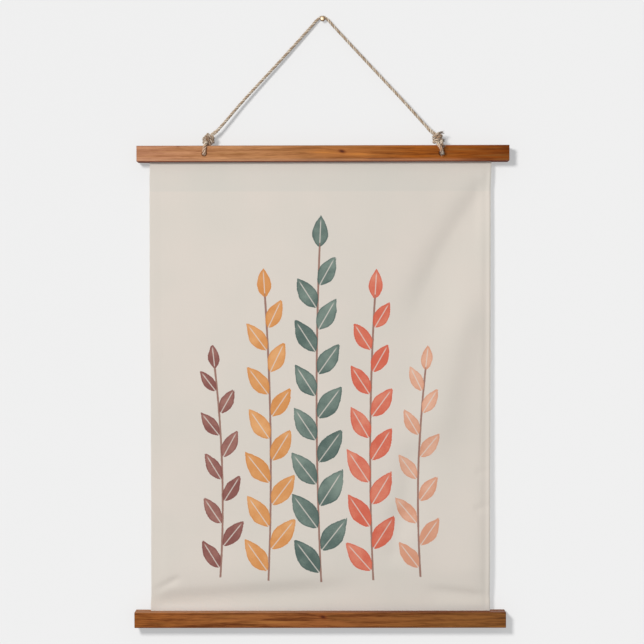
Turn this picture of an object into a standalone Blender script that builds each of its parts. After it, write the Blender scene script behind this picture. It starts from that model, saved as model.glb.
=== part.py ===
# A printed cotton hanging held between two pairs of wooden battens, on a knotted jute twine and a nail.
# Metres, +Z up. The origin is where the nail meets the wall. +X is to the viewer's right, and the wall is
# the plane Y = 0, so all but the nail's buried shank lies at negative Y.

import math
from collections import namedtuple

import bmesh
import bpy
from mathutils import Vector

MM = 0.001

# Layers, counted out from the wall
SEAT_GAP = 0.3 * MM
WALL_CLEARANCE = 5 * MM
BACK_BATTEN_DEPTH = 5 * MM
CLOTH_THICKNESS = 1 * MM
FRONT_BATTEN_DEPTH = 9 * MM
RAIL_BACK_Y = -WALL_CLEARANCE
CLOTH_Y = RAIL_BACK_Y - BACK_BATTEN_DEPTH - SEAT_GAP - CLOTH_THICKNESS / 2
FRONT_BATTEN_Y = CLOTH_Y - CLOTH_THICKNESS / 2 - SEAT_GAP
RAIL_FRONT_Y = FRONT_BATTEN_Y - FRONT_BATTEN_DEPTH

# Rails
OVERALL_HEIGHT = 609.6 * MM
RAIL_LENGTH = 470 * MM
RAIL_HEIGHT = 20 * MM
EDGE_ROUND = 1 * MM
TOP_RAIL_TOP = -161.9 * MM
BOTTOM_RAIL_SHIFT = -4.6 * MM
BOTTOM_RAIL_TOP = TOP_RAIL_TOP - OVERALL_HEIGHT + RAIL_HEIGHT

# Holes for the twine, through the top rail and the cloth
HOLE_SPREAD = 149.4 * MM
HOLE_DROP = 10.4 * MM
HOLE_RADIUS = 2.35 * MM
MOUTH_CHAMFER = 0.6 * MM
HOLE_SIDES = 16

# Cloth: how far its ends stop short of the rails' outer edges, and the size of its mesh's cells
CLOTH_END_MARGIN = 2 * MM
CLOTH_CELL = 21 * MM
HEM_CELL = 7 * MM
HEM_BAND = 56 * MM
EDGE_STEPS = (0, 2.5 * MM, 6 * MM, 12 * MM)
TOP_FADE = 22 * MM
BOTTOM_FADE = 9 * MM
CURL_WIDTH = 6 * MM
RIGHT_CURL = 1.4 * MM
LEFT_CURL = 0.5 * MM

# The cloth's two side edges, in millimetres: X at a number of drops below the top rail
ClothSection = namedtuple("ClothSection", "drop left right")
CLOTH_SECTIONS = (
    ClothSection(drop=0, left=-219.6, right=213.5),
    ClothSection(drop=35, left=-219.8, right=212.6),
    ClothSection(drop=175, left=-220.0, right=212.3),
    ClothSection(drop=300, left=-219.1, right=211.9),
    ClothSection(drop=430, left=-219.0, right=211.1),
    ClothSection(drop=545, left=-219.0, right=210.9),
    ClothSection(drop=564, left=-219.9, right=211.4),
)

# Soft ridges (rise above 0, towards the viewer) and troughs, in millimetres. Each follows a line from
# one point to another, pushed out sideways by bow at its middle, and fades over its spread.
Fold = namedtuple("Fold", "x1 z1 x2 z2 bow rise spread")
FOLDS = (
    Fold(x1=214, z1=-243, x2=104, z2=-390, bow=6, rise=-3.2, spread=34),
    Fold(x1=209, z1=-372, x2=146, z2=-494, bow=4, rise=2.4, spread=24),
    Fold(x1=-52, z1=-300, x2=-30, z2=-560, bow=0, rise=1.5, spread=95),
    Fold(x1=-217, z1=-743, x2=208, z2=-735, bow=-10.5, rise=-1.4, spread=8),
    Fold(x1=-219, z1=-731, x2=-172, z2=-705, bow=2, rise=-1.1, spread=7),
    Fold(x1=214, z1=-575, x2=188, z2=-578, bow=0, rise=-0.9, spread=6),
    Fold(x1=214, z1=-624, x2=184, z2=-627, bow=0, rise=-0.8, spread=6),
)

# Twine: three strands laid together. All its sizes and points are in millimetres.
TWINE_DIAMETER = 3.8
TWINE_LAY = 12.0
STEPS_PER_LAY = 8
STRANDS = 3
SHOULDER_ANGLE = math.radians(40)
SHOULDER_RADIUS = 1.37
END_TAPER = 0.75
TURN_SPACING = TWINE_DIAMETER + 0.4
WRAP_TURNS = 1.5
POINTS_PER_TURN = 14
KNOT_TILT = math.radians(48)

# A knot: the standing part and the tail lie side by side, and the returning strand is wrapped round both.
# side is -1 on the left and 1 on the right. across and height place its middle from the nail's line and
# the top rail's top. swing turns the pair about the knot's own axis. tuck is in the knot's own frame.
# tail, in_front and the list shared by both sides give (distance from the nail's line, Y, height above
# the top rail's top).
Knot = namedtuple("Knot", "side across depth height swing tail tuck in_front")
LEFT_KNOT = Knot(
    side=-1, across=143.6, depth=-13.0, height=8.6, swing=math.radians(20),
    tail=(),
    tuck=((2.1, -0.5, -5.4),),
    in_front=((148.6, -22.9, -1.4), (148.3, -21.6, 2.0), (148.9, -18.8, 4.1), (149.0, -16.2, 5.5)),
)
RIGHT_KNOT = Knot(
    side=1, across=144.8, depth=-13.0, height=9.3, swing=0.0,
    tail=((152.0, -27.2, -15.7), (150.2, -27.5, -11.3), (147.4, -27.1, -6.7), (145.3, -24.6, -2.5),
          (144.9, -21.9, 1.7), (145.6, -18.4, 3.2)),
    tuck=((2.1, 1.0, -4.0),),
    in_front=((149.5, -22.9, -1.4), (149.7, -21.6, 2.0), (150.0, -18.8, 4.2), (150.0, -16.4, 5.7)),
)
# From the wraps, down behind the rail, through its hole and up its face
THROUGH_RAIL = (
    (148.5, -6.3, 4.6), (149.0, -4.0, 2.6), (149.4, -2.75, -1.2), (149.4, -2.6, -4.6), (149.4, -2.75, -7.4),
    (149.4, -3.9, -9.65), (149.4, -6.6, -10.4), (149.4, -12.8, -10.4), (149.4, -19.0, -10.4),
    (149.4, -21.7, -9.65), (149.4, -22.85, -7.4), (149.4, -23.0, -4.6),
)
# In a knot's own frame: across the pair, towards the viewer, and along the knot
TAIL_IN_WRAPS = ((2.1, 0.0, -1.4), (2.15, 0.0, 0.9), (2.6, 0.8, 3.0), (2.9, 2.6, 3.9), (1.7, 4.2, 3.7))
STANDING_IN_WRAPS = ((-2.1, 0.7, -4.4), (-2.1, 0.05, -1.6), (-2.1, 0.0, 2.0), (-2.1, 0.0, 5.5), (-1.6, 0.0, 10.0))
# Over the nail, from the left run to the right one, as (X, Y, Z)
OVER_NAIL = (
    (-100.2, -9.8, -103.4), (-52.0, -6.9, -51.0), (-16.0, -4.7, -11.1), (-5.6, -4.25, 0.4), (0.0, -4.2, 3.15),
    (5.6, -4.25, 0.4), (16.0, -4.7, -11.0), (52.0, -6.9, -50.4), (100.2, -9.8, -102.8),
)
CURVE_STEPS = 12

# Nail, as stations of (Y, radius) from the head's crown to the tip in the wall
NAIL_STATIONS = (
    (-9.3 * MM, 0.0),
    (-9.15 * MM, 1.2 * MM),
    (-8.7 * MM, 2.2 * MM),
    (-8.1 * MM, 2.9 * MM),
    (-7.55 * MM, 3.2 * MM),
    (-7.2 * MM, 3.15 * MM),
    (-7.2 * MM, 0.9 * MM),
    (15.5 * MM, 0.9 * MM),
    (18.5 * MM, 0.0),
)
NAIL_SIDES = 20


def clear_scene():
    for obj in list(bpy.data.objects):
        bpy.data.objects.remove(obj, do_unlink=True)


def linear(channel):
    value = channel / 255
    return value / 12.92 if value <= 0.04045 else ((value + 0.055) / 1.055) ** 2.4


def make_material(name, red, green, blue, roughness, metallic=0.0):
    material = bpy.data.materials.new(name)
    material.use_nodes = True
    shader = material.node_tree.nodes["Principled BSDF"]
    shader.inputs["Base Color"].default_value = (linear(red), linear(green), linear(blue), 1)
    shader.inputs["Roughness"].default_value = roughness
    shader.inputs["Metallic"].default_value = metallic
    return material


def make_object(name, bm, material=None):
    bmesh.ops.recalc_face_normals(bm, faces=bm.faces)
    mesh = bpy.data.meshes.new(name)
    bm.to_mesh(mesh)
    bm.free()
    if material:
        mesh.materials.append(material)
    obj = bpy.data.objects.new(name, mesh)
    bpy.context.collection.objects.link(obj)
    return obj


def add_turned(bm, x, z, stations, sides):
    # A closed turned solid about the line through (x, z) along Y
    rings = []
    for y, radius in stations:
        if radius == 0:
            rings.append([bm.verts.new((x, y, z))])
            continue
        angles = [2 * math.pi * i / sides for i in range(sides)]
        rings.append([bm.verts.new((x + radius * math.cos(a), y, z + radius * math.sin(a))) for a in angles])
    for ring in (rings[0], rings[-1]):
        if len(ring) > 1:
            bm.faces.new(ring)
    for near, far in zip(rings, rings[1:]):
        for i in range(sides):
            j = (i + 1) % sides
            corners = [near[i % len(near)], near[j % len(near)], far[j % len(far)], far[i % len(far)]]
            bm.faces.new(list(dict.fromkeys(corners)))


def make_drills():
    # The cutter for both holes: straight through, widening at the rail's two faces
    reach = 1 * MM
    wide = HOLE_RADIUS + MOUTH_CHAMFER + reach
    stations = (
        (RAIL_FRONT_Y - reach, wide),
        (RAIL_FRONT_Y + MOUTH_CHAMFER, HOLE_RADIUS),
        (RAIL_BACK_Y - MOUTH_CHAMFER, HOLE_RADIUS),
        (RAIL_BACK_Y + reach, wide),
    )
    bm = bmesh.new()
    for x in (-HOLE_SPREAD, HOLE_SPREAD):
        add_turned(bm, x, TOP_RAIL_TOP - HOLE_DROP, stations, HOLE_SIDES)
    drills = make_object("twine_hole_drills", bm)
    drills.hide_render = True
    drills.display_type = "WIRE"
    return drills


def drill(obj, drills):
    cut = obj.modifiers.new("Twine holes", "BOOLEAN")
    cut.operation = "DIFFERENCE"
    cut.solver = "EXACT"
    cut.object = drills


def make_batten(name, centre_x, top, inner_y, depth, material):
    # inner_y is the batten's face towards the wall; depth runs from it towards the viewer
    bm = bmesh.new()
    bmesh.ops.create_cube(bm, size=1)
    bmesh.ops.scale(bm, vec=(RAIL_LENGTH, depth, RAIL_HEIGHT), verts=bm.verts)
    batten = make_object(name, bm, material)
    batten.location = (centre_x, inner_y - depth / 2, top - RAIL_HEIGHT / 2)
    rounding = batten.modifiers.new("Eased edges", "BEVEL")
    rounding.width = EDGE_ROUND
    rounding.segments = 2
    return batten


def make_rail(prefix, centre_x, top, material, drills=None):
    back = make_batten(prefix + "_back", centre_x, top, RAIL_BACK_Y, BACK_BATTEN_DEPTH, material)
    front = make_batten(prefix + "_front", centre_x, top, FRONT_BATTEN_Y, FRONT_BATTEN_DEPTH, material)
    if drills:
        drill(back, drills)
        drill(front, drills)


def smooth_step(value):
    value = min(max(value, 0.0), 1.0)
    return value * value * (3 - 2 * value)


def cloth_edges(drop):
    # X of the left and right edges at this drop below the top rail
    drop_mm = drop / MM
    above = CLOTH_SECTIONS[0]
    for below in CLOTH_SECTIONS[1:]:
        if drop_mm <= below.drop:
            break
        above = below
    span = max(below.drop - above.drop, 1)
    mix = smooth_step((drop_mm - above.drop) / span)
    left = above.left + mix * (below.left - above.left)
    right = above.right + mix * (below.right - above.right)
    return left * MM, right * MM


def distance_to_fold(fold, x, z):
    start = Vector((fold.x1, fold.z1))
    run = Vector((fold.x2, fold.z2)) - start
    point = Vector((x, z)) - start
    along = min(max(point.dot(run) / run.length_squared, 0.0), 1.0)
    sideways = Vector((-run.y, run.x)).normalized()
    nearest = run * along + sideways * fold.bow * 4 * along * (1 - along)
    return (point - nearest).length


def cloth_rise(x, z, drop, left, right):
    # How far the cloth stands towards the viewer from the plane that the rails hold it in
    rise = 0.0
    for fold in FOLDS:
        away = distance_to_fold(fold, x / MM, z / MM)
        rise += fold.rise * MM * math.exp(-((away / fold.spread) ** 2))
    rise += RIGHT_CURL * max(0.0, 1 - (right - x) / CURL_WIDTH) ** 2
    rise += LEFT_CURL * max(0.0, 1 - (x - left) / CURL_WIDTH) ** 2
    visible = OVERALL_HEIGHT - 2 * RAIL_HEIGHT
    return rise * smooth_step(drop / TOP_FADE) * smooth_step((visible - drop) / BOTTOM_FADE)


def cloth_drops():
    # Row positions below the top rail's lower edge: both clamped ends, then even cells, closer at the foot
    visible = OVERALL_HEIGHT - 2 * RAIL_HEIGHT
    even = round((visible - HEM_BAND) / CLOTH_CELL)
    close = round(HEM_BAND / HEM_CELL)
    drops = [CLOTH_END_MARGIN - RAIL_HEIGHT]
    drops += [i / even * (visible - HEM_BAND) for i in range(even)]
    drops += [visible - HEM_BAND + i / close * HEM_BAND for i in range(close + 1)]
    drops.append(visible + RAIL_HEIGHT - CLOTH_END_MARGIN)
    return drops


def cloth_columns(left, right):
    inner_left = left + EDGE_STEPS[-1]
    inner_right = right - EDGE_STEPS[-1]
    cells = round((CLOTH_SECTIONS[0].right - CLOTH_SECTIONS[0].left) * MM / CLOTH_CELL)
    columns = [left + step for step in EDGE_STEPS[:-1]]
    columns += [inner_left + i / cells * (inner_right - inner_left) for i in range(cells + 1)]
    columns += [right - step for step in reversed(EDGE_STEPS[:-1])]
    return columns


def make_cloth(drills, material):
    bm = bmesh.new()
    near = []
    far = []
    for drop in cloth_drops():
        z = TOP_RAIL_TOP - RAIL_HEIGHT - drop
        left, right = cloth_edges(drop)
        near_row = []
        far_row = []
        for x in cloth_columns(left, right):
            y = CLOTH_Y - cloth_rise(x, z, drop, left, right)
            near_row.append(bm.verts.new((x, y - CLOTH_THICKNESS / 2, z)))
            far_row.append(bm.verts.new((x, y + CLOTH_THICKNESS / 2, z)))
        near.append(near_row)
        far.append(far_row)
    for rows in (near, far):
        for upper, lower in zip(rows, rows[1:]):
            for i in range(len(upper) - 1):
                bm.faces.new((upper[i], upper[i + 1], lower[i + 1], lower[i]))
    near_rim = outline_of(near)
    far_rim = outline_of(far)
    for i in range(len(near_rim)):
        bm.faces.new((near_rim[i - 1], near_rim[i], far_rim[i], far_rim[i - 1]))
    cloth = make_object("cloth_panel", bm, material)
    drill(cloth, drills)


def outline_of(rows):
    down_right = [row[-1] for row in rows[1:-1]]
    up_left = [row[0] for row in reversed(rows[1:-1])]
    return rows[0] + down_right + rows[-1][::-1] + up_left


def on_oval(turn):
    # A point on the wrap's path, an oval about the pair of cores: 0 at the back, then past the standing
    # part's side, the front and the tail's side. Gives (across the pair, towards the viewer).
    reach = TURN_SPACING
    half_flat = reach / 2
    half_round = math.pi * reach
    way = (turn * (2 * half_round + 4 * half_flat)) % (2 * half_round + 4 * half_flat)
    if way < half_flat:
        return -way, -reach
    way -= half_flat
    if way < half_round:
        angle = way / reach
        return -half_flat - reach * math.sin(angle), -reach * math.cos(angle)
    way -= half_round
    if way < 2 * half_flat:
        return way - half_flat, reach
    way -= 2 * half_flat
    if way < half_round:
        angle = way / reach
        return half_flat + reach * math.sin(angle), reach * math.cos(angle)
    return half_flat - (way - half_round), -reach


def wrap_points():
    # The turns round the pair, from the end tucked in at the top down to where the strand comes up
    count = round(WRAP_TURNS * POINTS_PER_TURN)
    points = []
    for i in range(count - 1, 1, -1):
        across, forward = on_oval(i / POINTS_PER_TURN)
        points.append((across, forward, TURN_SPACING * (i / POINTS_PER_TURN - WRAP_TURNS / 2)))
    return points


def knot_route(knot):
    # The twine's way from its tail's end, through the knot, round the rail and out towards the nail
    rail_top = TOP_RAIL_TOP / MM
    middle = Vector((knot.side * knot.across, knot.depth, rail_top + knot.height))
    along = Vector((-knot.side * math.sin(KNOT_TILT), 0, math.cos(KNOT_TILT)))
    inward = Vector((-knot.side * math.cos(KNOT_TILT), 0, -math.sin(KNOT_TILT)))
    viewer = Vector((0, -1, 0))
    across = inward * math.cos(knot.swing) + viewer * math.sin(knot.swing)
    forward = viewer * math.cos(knot.swing) - inward * math.sin(knot.swing)

    def in_knot(points):
        return [middle + across * a + forward * f + along * v for a, f, v in points]

    def on_rail(points):
        return [Vector((knot.side * x, y, rail_top + z)) for x, y, z in points]

    route = on_rail(knot.tail) + in_knot(knot.tuck) + in_knot(TAIL_IN_WRAPS) + in_knot(wrap_points())
    route += on_rail(THROUGH_RAIL) + on_rail(knot.in_front) + in_knot(STANDING_IN_WRAPS)
    return route


def twine_route():
    over_nail = [Vector(point) for point in OVER_NAIL]
    return knot_route(LEFT_KNOT) + over_nail + knot_route(RIGHT_KNOT)[::-1]


def smooth_curve(points):
    # A centripetal Catmull-Rom curve through the points
    first = points[0] * 2 - points[1]
    last = points[-1] * 2 - points[-2]
    padded = [first] + points + [last]
    curve = []
    for p0, p1, p2, p3 in zip(padded, padded[1:], padded[2:], padded[3:]):
        t1 = (p1 - p0).length ** 0.5
        t2 = t1 + (p2 - p1).length ** 0.5
        t3 = t2 + (p3 - p2).length ** 0.5
        for step in range(CURVE_STEPS):
            t = t1 + (t2 - t1) * step / CURVE_STEPS
            a1 = p0.lerp(p1, t / t1)
            a2 = p1.lerp(p2, (t - t1) / (t2 - t1))
            a3 = p2.lerp(p3, (t - t2) / (t3 - t2))
            b1 = a1.lerp(a2, t / t2)
            b2 = a2.lerp(a3, (t - t1) / (t3 - t1))
            curve.append(b1.lerp(b2, (t - t1) / (t2 - t1)))
    curve.append(points[-1])
    return curve


def evenly_spaced(curve, spacing):
    lengths = [0.0]
    for before, after in zip(curve, curve[1:]):
        lengths.append(lengths[-1] + (after - before).length)
    count = round(lengths[-1] / spacing)
    points = []
    segment = 0
    for i in range(count + 1):
        way = lengths[-1] * i / count
        while segment < len(curve) - 2 and lengths[segment + 1] < way:
            segment += 1
        part = (way - lengths[segment]) / (lengths[segment + 1] - lengths[segment])
        points.append(curve[segment].lerp(curve[segment + 1], part))
    return points


def twine_section():
    # The outline of three strands side by side, as (angle, radius): each has a crest and two shoulders
    section = []
    for strand in range(STRANDS):
        crest = 2 * math.pi * strand / STRANDS
        section.append((crest - SHOULDER_ANGLE, SHOULDER_RADIUS))
        section.append((crest, TWINE_DIAMETER / 2))
        section.append((crest + SHOULDER_ANGLE, SHOULDER_RADIUS))
    return section


def make_twine(material):
    centres = evenly_spaced(smooth_curve(twine_route()), TWINE_LAY / STEPS_PER_LAY)
    section = twine_section()
    bm = bmesh.new()
    rings = []
    side = Vector((0, 1, 0))
    for i, centre in enumerate(centres):
        heading = (centres[min(i + 1, len(centres) - 1)] - centres[max(i - 1, 0)]).normalized()
        side = (side - heading * side.dot(heading)).normalized()
        other = heading.cross(side)
        size = END_TAPER if i in (0, len(centres) - 1) else 1.0
        twist = 2 * math.pi * i / STEPS_PER_LAY
        ring = []
        for angle, radius in section:
            turned = side * math.cos(angle + twist) + other * math.sin(angle + twist)
            ring.append(bm.verts.new((centre + turned * radius * size) * MM))
        rings.append(ring)
    for before, after in zip(rings, rings[1:]):
        for i in range(len(section)):
            bm.faces.new((before[i - 1], before[i], after[i], after[i - 1]))
    bm.faces.new(rings[0])
    bm.faces.new(rings[-1])
    make_object("hanging_twine", bm, material)


def make_nail(material):
    bm = bmesh.new()
    add_turned(bm, 0, 0, NAIL_STATIONS, NAIL_SIDES)
    nail = make_object("wall_nail", bm, material)
    nail.data.shade_smooth()
    nail.data.set_sharp_from_angle(angle=math.radians(40))


def main():
    clear_scene()
    drills = make_drills()
    top_wood = make_material("top_rail_pine", 169, 113, 68, 0.55)
    bottom_wood = make_material("bottom_rail_pine", 135, 83, 44, 0.55)
    make_rail("top_rail", 0, TOP_RAIL_TOP, top_wood, drills)
    make_rail("bottom_rail", BOTTOM_RAIL_SHIFT, BOTTOM_RAIL_TOP, bottom_wood)
    make_cloth(drills, make_material("natural_cotton", 215, 206, 195, 0.9))
    make_twine(make_material("jute", 178, 156, 128, 0.85))
    make_nail(make_material("brass", 205, 170, 105, 0.3, 1.0))


main()
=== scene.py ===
import math
import random

import bmesh
import bpy
import numpy as np
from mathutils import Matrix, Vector, noise


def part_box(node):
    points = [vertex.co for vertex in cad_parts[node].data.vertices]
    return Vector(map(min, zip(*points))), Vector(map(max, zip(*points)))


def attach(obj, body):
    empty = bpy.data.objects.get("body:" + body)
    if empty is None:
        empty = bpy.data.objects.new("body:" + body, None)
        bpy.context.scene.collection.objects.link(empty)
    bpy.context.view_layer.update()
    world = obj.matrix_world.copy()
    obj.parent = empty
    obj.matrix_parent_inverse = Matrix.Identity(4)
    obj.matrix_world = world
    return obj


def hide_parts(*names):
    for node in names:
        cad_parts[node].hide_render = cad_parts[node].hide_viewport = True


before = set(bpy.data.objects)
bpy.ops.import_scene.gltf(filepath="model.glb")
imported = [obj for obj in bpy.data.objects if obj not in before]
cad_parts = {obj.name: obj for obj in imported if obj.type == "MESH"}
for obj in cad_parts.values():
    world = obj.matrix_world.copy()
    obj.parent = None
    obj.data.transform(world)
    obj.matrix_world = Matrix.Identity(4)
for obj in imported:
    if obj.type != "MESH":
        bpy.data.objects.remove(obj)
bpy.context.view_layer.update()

mm = 0.001


# Helpers for nodes


class Wire:
    # One output of a node. Sums on it add Math nodes to its graph.
    def __init__(self, graph, socket):
        self.graph = graph
        self.socket = socket

    def out(self, name):
        return Wire(self.graph, self.socket.node.outputs[name])

    def into(self, operation, *values):
        sockets = dict(enumerate(values))
        return self.graph.add("ShaderNodeMath", {"operation": operation}, sockets)

    def __add__(self, other):
        return self.into("ADD", self, other)

    def __radd__(self, other):
        return self.into("ADD", other, self)

    def __sub__(self, other):
        return self.into("SUBTRACT", self, other)

    def __rsub__(self, other):
        return self.into("SUBTRACT", other, self)

    def __mul__(self, other):
        return self.into("MULTIPLY", self, other)

    def __rmul__(self, other):
        return self.into("MULTIPLY", other, self)

    def __truediv__(self, other):
        return self.into("DIVIDE", self, other)

    def __rtruediv__(self, other):
        return self.into("DIVIDE", other, self)

    def __pow__(self, other):
        return self.into("POWER", self, other)

    def __mod__(self, other):
        return self.into("FLOORED_MODULO", self, other)

    def __abs__(self):
        return self.into("ABSOLUTE", self)

    def sine(self):
        return self.into("SINE", self)

    def cosine(self):
        return self.into("COSINE", self)

    def floor(self):
        return self.into("FLOOR", self)

    def root(self):
        return self.into("SQRT", self)

    def bell(self):
        # 1 where the wire is 0, and less the larger it is
        return self.into("EXPONENT", self * -1)


def setInputs(node, values):
    # Links each wire to the node's input of that name or number, and sets each plain value
    for name, value in values.items():
        if isinstance(value, Wire):
            value.graph.tree.links.new(value.socket, node.inputs[name])
        else:
            node.inputs[name].default_value = value


class Graph:
    def __init__(self, tree):
        self.tree = tree

    def add(self, kind, settings=None, sockets=None):
        # settings go first, since some change which sockets a node has
        node = self.tree.nodes.new(kind)
        for name, value in (settings or {}).items():
            if name == "stops":
                self.setStops(node.color_ramp, value)
            else:
                setattr(node, name, value)
        setInputs(node, sockets or {})
        return Wire(self, next((s for s in node.outputs if s.enabled), None))

    def setStops(self, ramp, stops):
        while len(ramp.elements) > len(stops):
            ramp.elements.remove(ramp.elements[-1])
        while len(ramp.elements) < len(stops):
            ramp.elements.new(1)
        for element, (place, colour) in zip(ramp.elements, stops):
            element.position = place
            element.color = colour

    def mixColour(self, factor, first, second, blend="MIX"):
        settings = {"data_type": "RGBA", "blend_type": blend}
        return self.add("ShaderNodeMix", settings, {0: factor, 6: first, 7: second})

    def vector(self, operation, *values):
        return self.add("ShaderNodeVectorMath", {"operation": operation}, dict(enumerate(values)))

    def scaled(self, vector, factor):
        return self.add("ShaderNodeVectorMath", {"operation": "SCALE"}, {0: vector, "Scale": factor})

    def joined(self, x, y, z):
        return self.add("ShaderNodeCombineXYZ", None, {0: x, 1: y, 2: z})

    def clouds(self, vector, scale, detail=2.0, roughness=0.5):
        sockets = {"Vector": vector, "Scale": scale, "Detail": detail, "Roughness": roughness}
        return self.add("ShaderNodeTexNoise", None, sockets)

    def ease(self, value, low, high, fromValue=0.0, toValue=1.0):
        settings = {"interpolation_type": "SMOOTHSTEP", "clamp": True}
        sockets = {0: value, 1: low, 2: high, 3: fromValue, 4: toValue}
        return self.add("ShaderNodeMapRange", settings, sockets)

    def attribute(self, name):
        return self.add("ShaderNodeAttribute", {"attribute_name": name}).out("Fac")

    def coordinates(self, kind="Object"):
        return self.add("ShaderNodeTexCoord").out(kind)

    def split(self, vector):
        return self.add("ShaderNodeSeparateXYZ", None, {0: vector})

    def ramp(self, stops, factor):
        return self.add("ShaderNodeValToRGB", {"stops": stops}, {0: factor}).out("Color")

    def covered(self, share, colour, tone):
        # A colour with its share of a screen colour laid over it
        return self.mixColour(share, colour, paintValue(*tone))

    def tinted(self, share, colour, tint):
        return self.mixColour(share, colour, (*tint, 1), "MULTIPLY")

    def bump(self, strength, distance, height):
        sockets = {"Strength": strength, "Distance": distance, "Height": height}
        return self.add("ShaderNodeBump", None, sockets)

    def stored(self, geometry, name, value, kind="FLOAT"):
        # The geometry with a value kept on each of its points
        settings = {"data_type": kind, "domain": "POINT"}
        sockets = {"Geometry": geometry, "Name": name, "Value": value}
        return self.add("GeometryNodeStoreNamedAttribute", settings, sockets)

    def circle(self, sides, radius):
        sockets = {"Resolution": sides, "Radius": radius}
        return self.add("GeometryNodeCurvePrimitiveCircle", None, sockets)

    def tubes(self, curves, outline):
        sockets = {"Curve": curves, "Profile Curve": outline, "Fill Caps": True}
        return self.add("GeometryNodeCurveToMesh", None, sockets)


def paintValue(red, green, blue):
    # A colour as seen on a screen, 0 to 255, as the shader's own light values
    channels = []
    for channel in (red, green, blue):
        value = channel / 255
        channels.append(value / 12.92 if value <= 0.04045 else ((value + 0.055) / 1.055) ** 2.4)
    return (*channels, 1.0)


def startMaterial(name):
    material = bpy.data.materials.new(name)
    material.use_nodes = True
    graph = Graph(material.node_tree)
    shader = material.node_tree.nodes["Principled BSDF"]
    return material, graph, shader


def blendedStops(colours):
    # Screen colours, spread over the length of a ramp
    return [(i / (len(colours) - 1), paintValue(*colour)) for i, colour in enumerate(colours)]


def startNodeTree(name, inputs):
    # A Geometry Nodes tree with named inputs, each (name, kind, value)
    tree = bpy.data.node_groups.new(name, "GeometryNodeTree")
    tree.interface.new_socket("Geometry", in_out="INPUT", socket_type="NodeSocketGeometry")
    tree.interface.new_socket("Geometry", in_out="OUTPUT", socket_type="NodeSocketGeometry")
    for label, kind, value in inputs:
        tree.interface.new_socket(label, in_out="INPUT", socket_type=kind).default_value = value
    graph = Graph(tree)
    return graph, graph.add("NodeGroupInput")


def endNodeTree(graph, geometry, material):
    whole = graph.add("GeometryNodeRealizeInstances", None, {"Geometry": geometry})
    coloured = graph.add("GeometryNodeSetMaterial", None, {"Geometry": whole, "Material": material})
    graph.add("NodeGroupOutput", None, {"Geometry": coloured})


def addObject(name, data):
    obj = bpy.data.objects.new(name, data)
    bpy.context.scene.collection.objects.link(obj)
    return obj


def meshFrom(bm, name):
    mesh = bpy.data.meshes.new(name)
    bm.to_mesh(mesh)
    bm.free()
    return mesh


def growMesh(name, source, graph, values):
    # Runs a tree on the source object and keeps its result as a plain mesh
    modifier = source.modifiers.new("Growth", "NODES")
    modifier.node_group = graph.tree
    for item in graph.tree.interface.items_tree:
        if item.in_out == "INPUT" and item.name in values:
            modifier[item.identifier] = values[item.name]
    source.update_tag()
    evaluated = source.evaluated_get(bpy.context.evaluated_depsgraph_get())
    mesh = bpy.data.meshes.new_from_object(evaluated)
    source.modifiers.remove(modifier)
    mesh.name = name
    return addObject(name, mesh)


def discard(obj):
    bpy.data.objects.remove(obj, do_unlink=True)


# Camera and light


view = {
    "place": (6.3 * mm, -1533.6 * mm, -369.9 * mm),
    "lens": 67.08,
    "sensor": 36,
    "pitch": -0.556,
    "yaw": 0.291,
    "roll": 0.114,
}


def makeCamera():
    data = bpy.data.cameras.new("viewer")
    data.lens = view["lens"]
    data.sensor_width = view["sensor"]
    camera = addObject("viewer", data)
    camera.location = view["place"]
    camera.rotation_mode = "XYZ"
    pitch, yaw, roll = (math.radians(view[turn]) for turn in ("pitch", "yaw", "roll"))
    camera.rotation_euler = (math.pi / 2 + pitch, roll, yaw)
    bpy.context.scene.camera = camera


light = {
    "keyPlace": (-560 * mm, -1324 * mm, 129 * mm),
    "keyRadius": 0.165,
    "keyLevel": 0.655,  # the lamp's and the sky's shares of the light on a face towards the viewer
    "keyTint": (1.012, 1.0, 0.986),
    "skyLevel": 0.4,
    "skyTint": (0.985, 1.0, 1.018),
    "skyFrom": (-0.45, -0.75, 0.48),  # the side that the room is brighter on
    "skyLean": 0.35,
    "backPlace": (0.6, 1.8, 0.4),
    "backTarget": (0, 0, -400 * mm),
    "backSize": 1.5,
    "backPower": 18,
    "wallTone": (240, 240, 240),
    "wallShare": 0.4,  # how much of the wall's brightness the light gives; the rest is its own
    "wallLevel": 0.31,  # a second lamp in the key's place that lights the wall alone
    "cottonLevel": 0.3,  # and a third, for what thin cotton lets through to the wall
    "wallReach": 4.0,
}


def makeKeyLight(name, level, receivers=None):
    # A small soft lamp close by. Its light doesn't fall off, so that the far corner isn't left dark.
    data = bpy.data.lights.new(name, "POINT")
    data.shadow_soft_size = light["keyRadius"]
    data.energy = level * 4 * math.pi ** 2  # lights a white face that is turned to it to that level
    data.color = light["keyTint"]
    data.use_nodes = True
    graph = Graph(data.node_tree)
    even = graph.add("ShaderNodeLightFalloff", None, {"Strength": 1.0}).out("Constant")
    setInputs(data.node_tree.nodes["Emission"], {"Strength": even})
    lamp = addObject(name, data)
    lamp.location = light["keyPlace"]
    if receivers:
        lamp.light_linking.receiver_collection = receivers
    return lamp


def makeBackLight():
    data = bpy.data.lights.new("backLight", "AREA")
    data.shape = "DISK"
    data.size = light["backSize"]
    data.energy = light["backPower"]
    lamp = addObject("backLight", data)
    lamp.location = light["backPlace"]
    lamp.rotation_mode = "QUATERNION"
    aim = Vector(light["backTarget"]) - Vector(light["backPlace"])
    lamp.rotation_quaternion = aim.to_track_quat("-Z", "Y")


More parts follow.
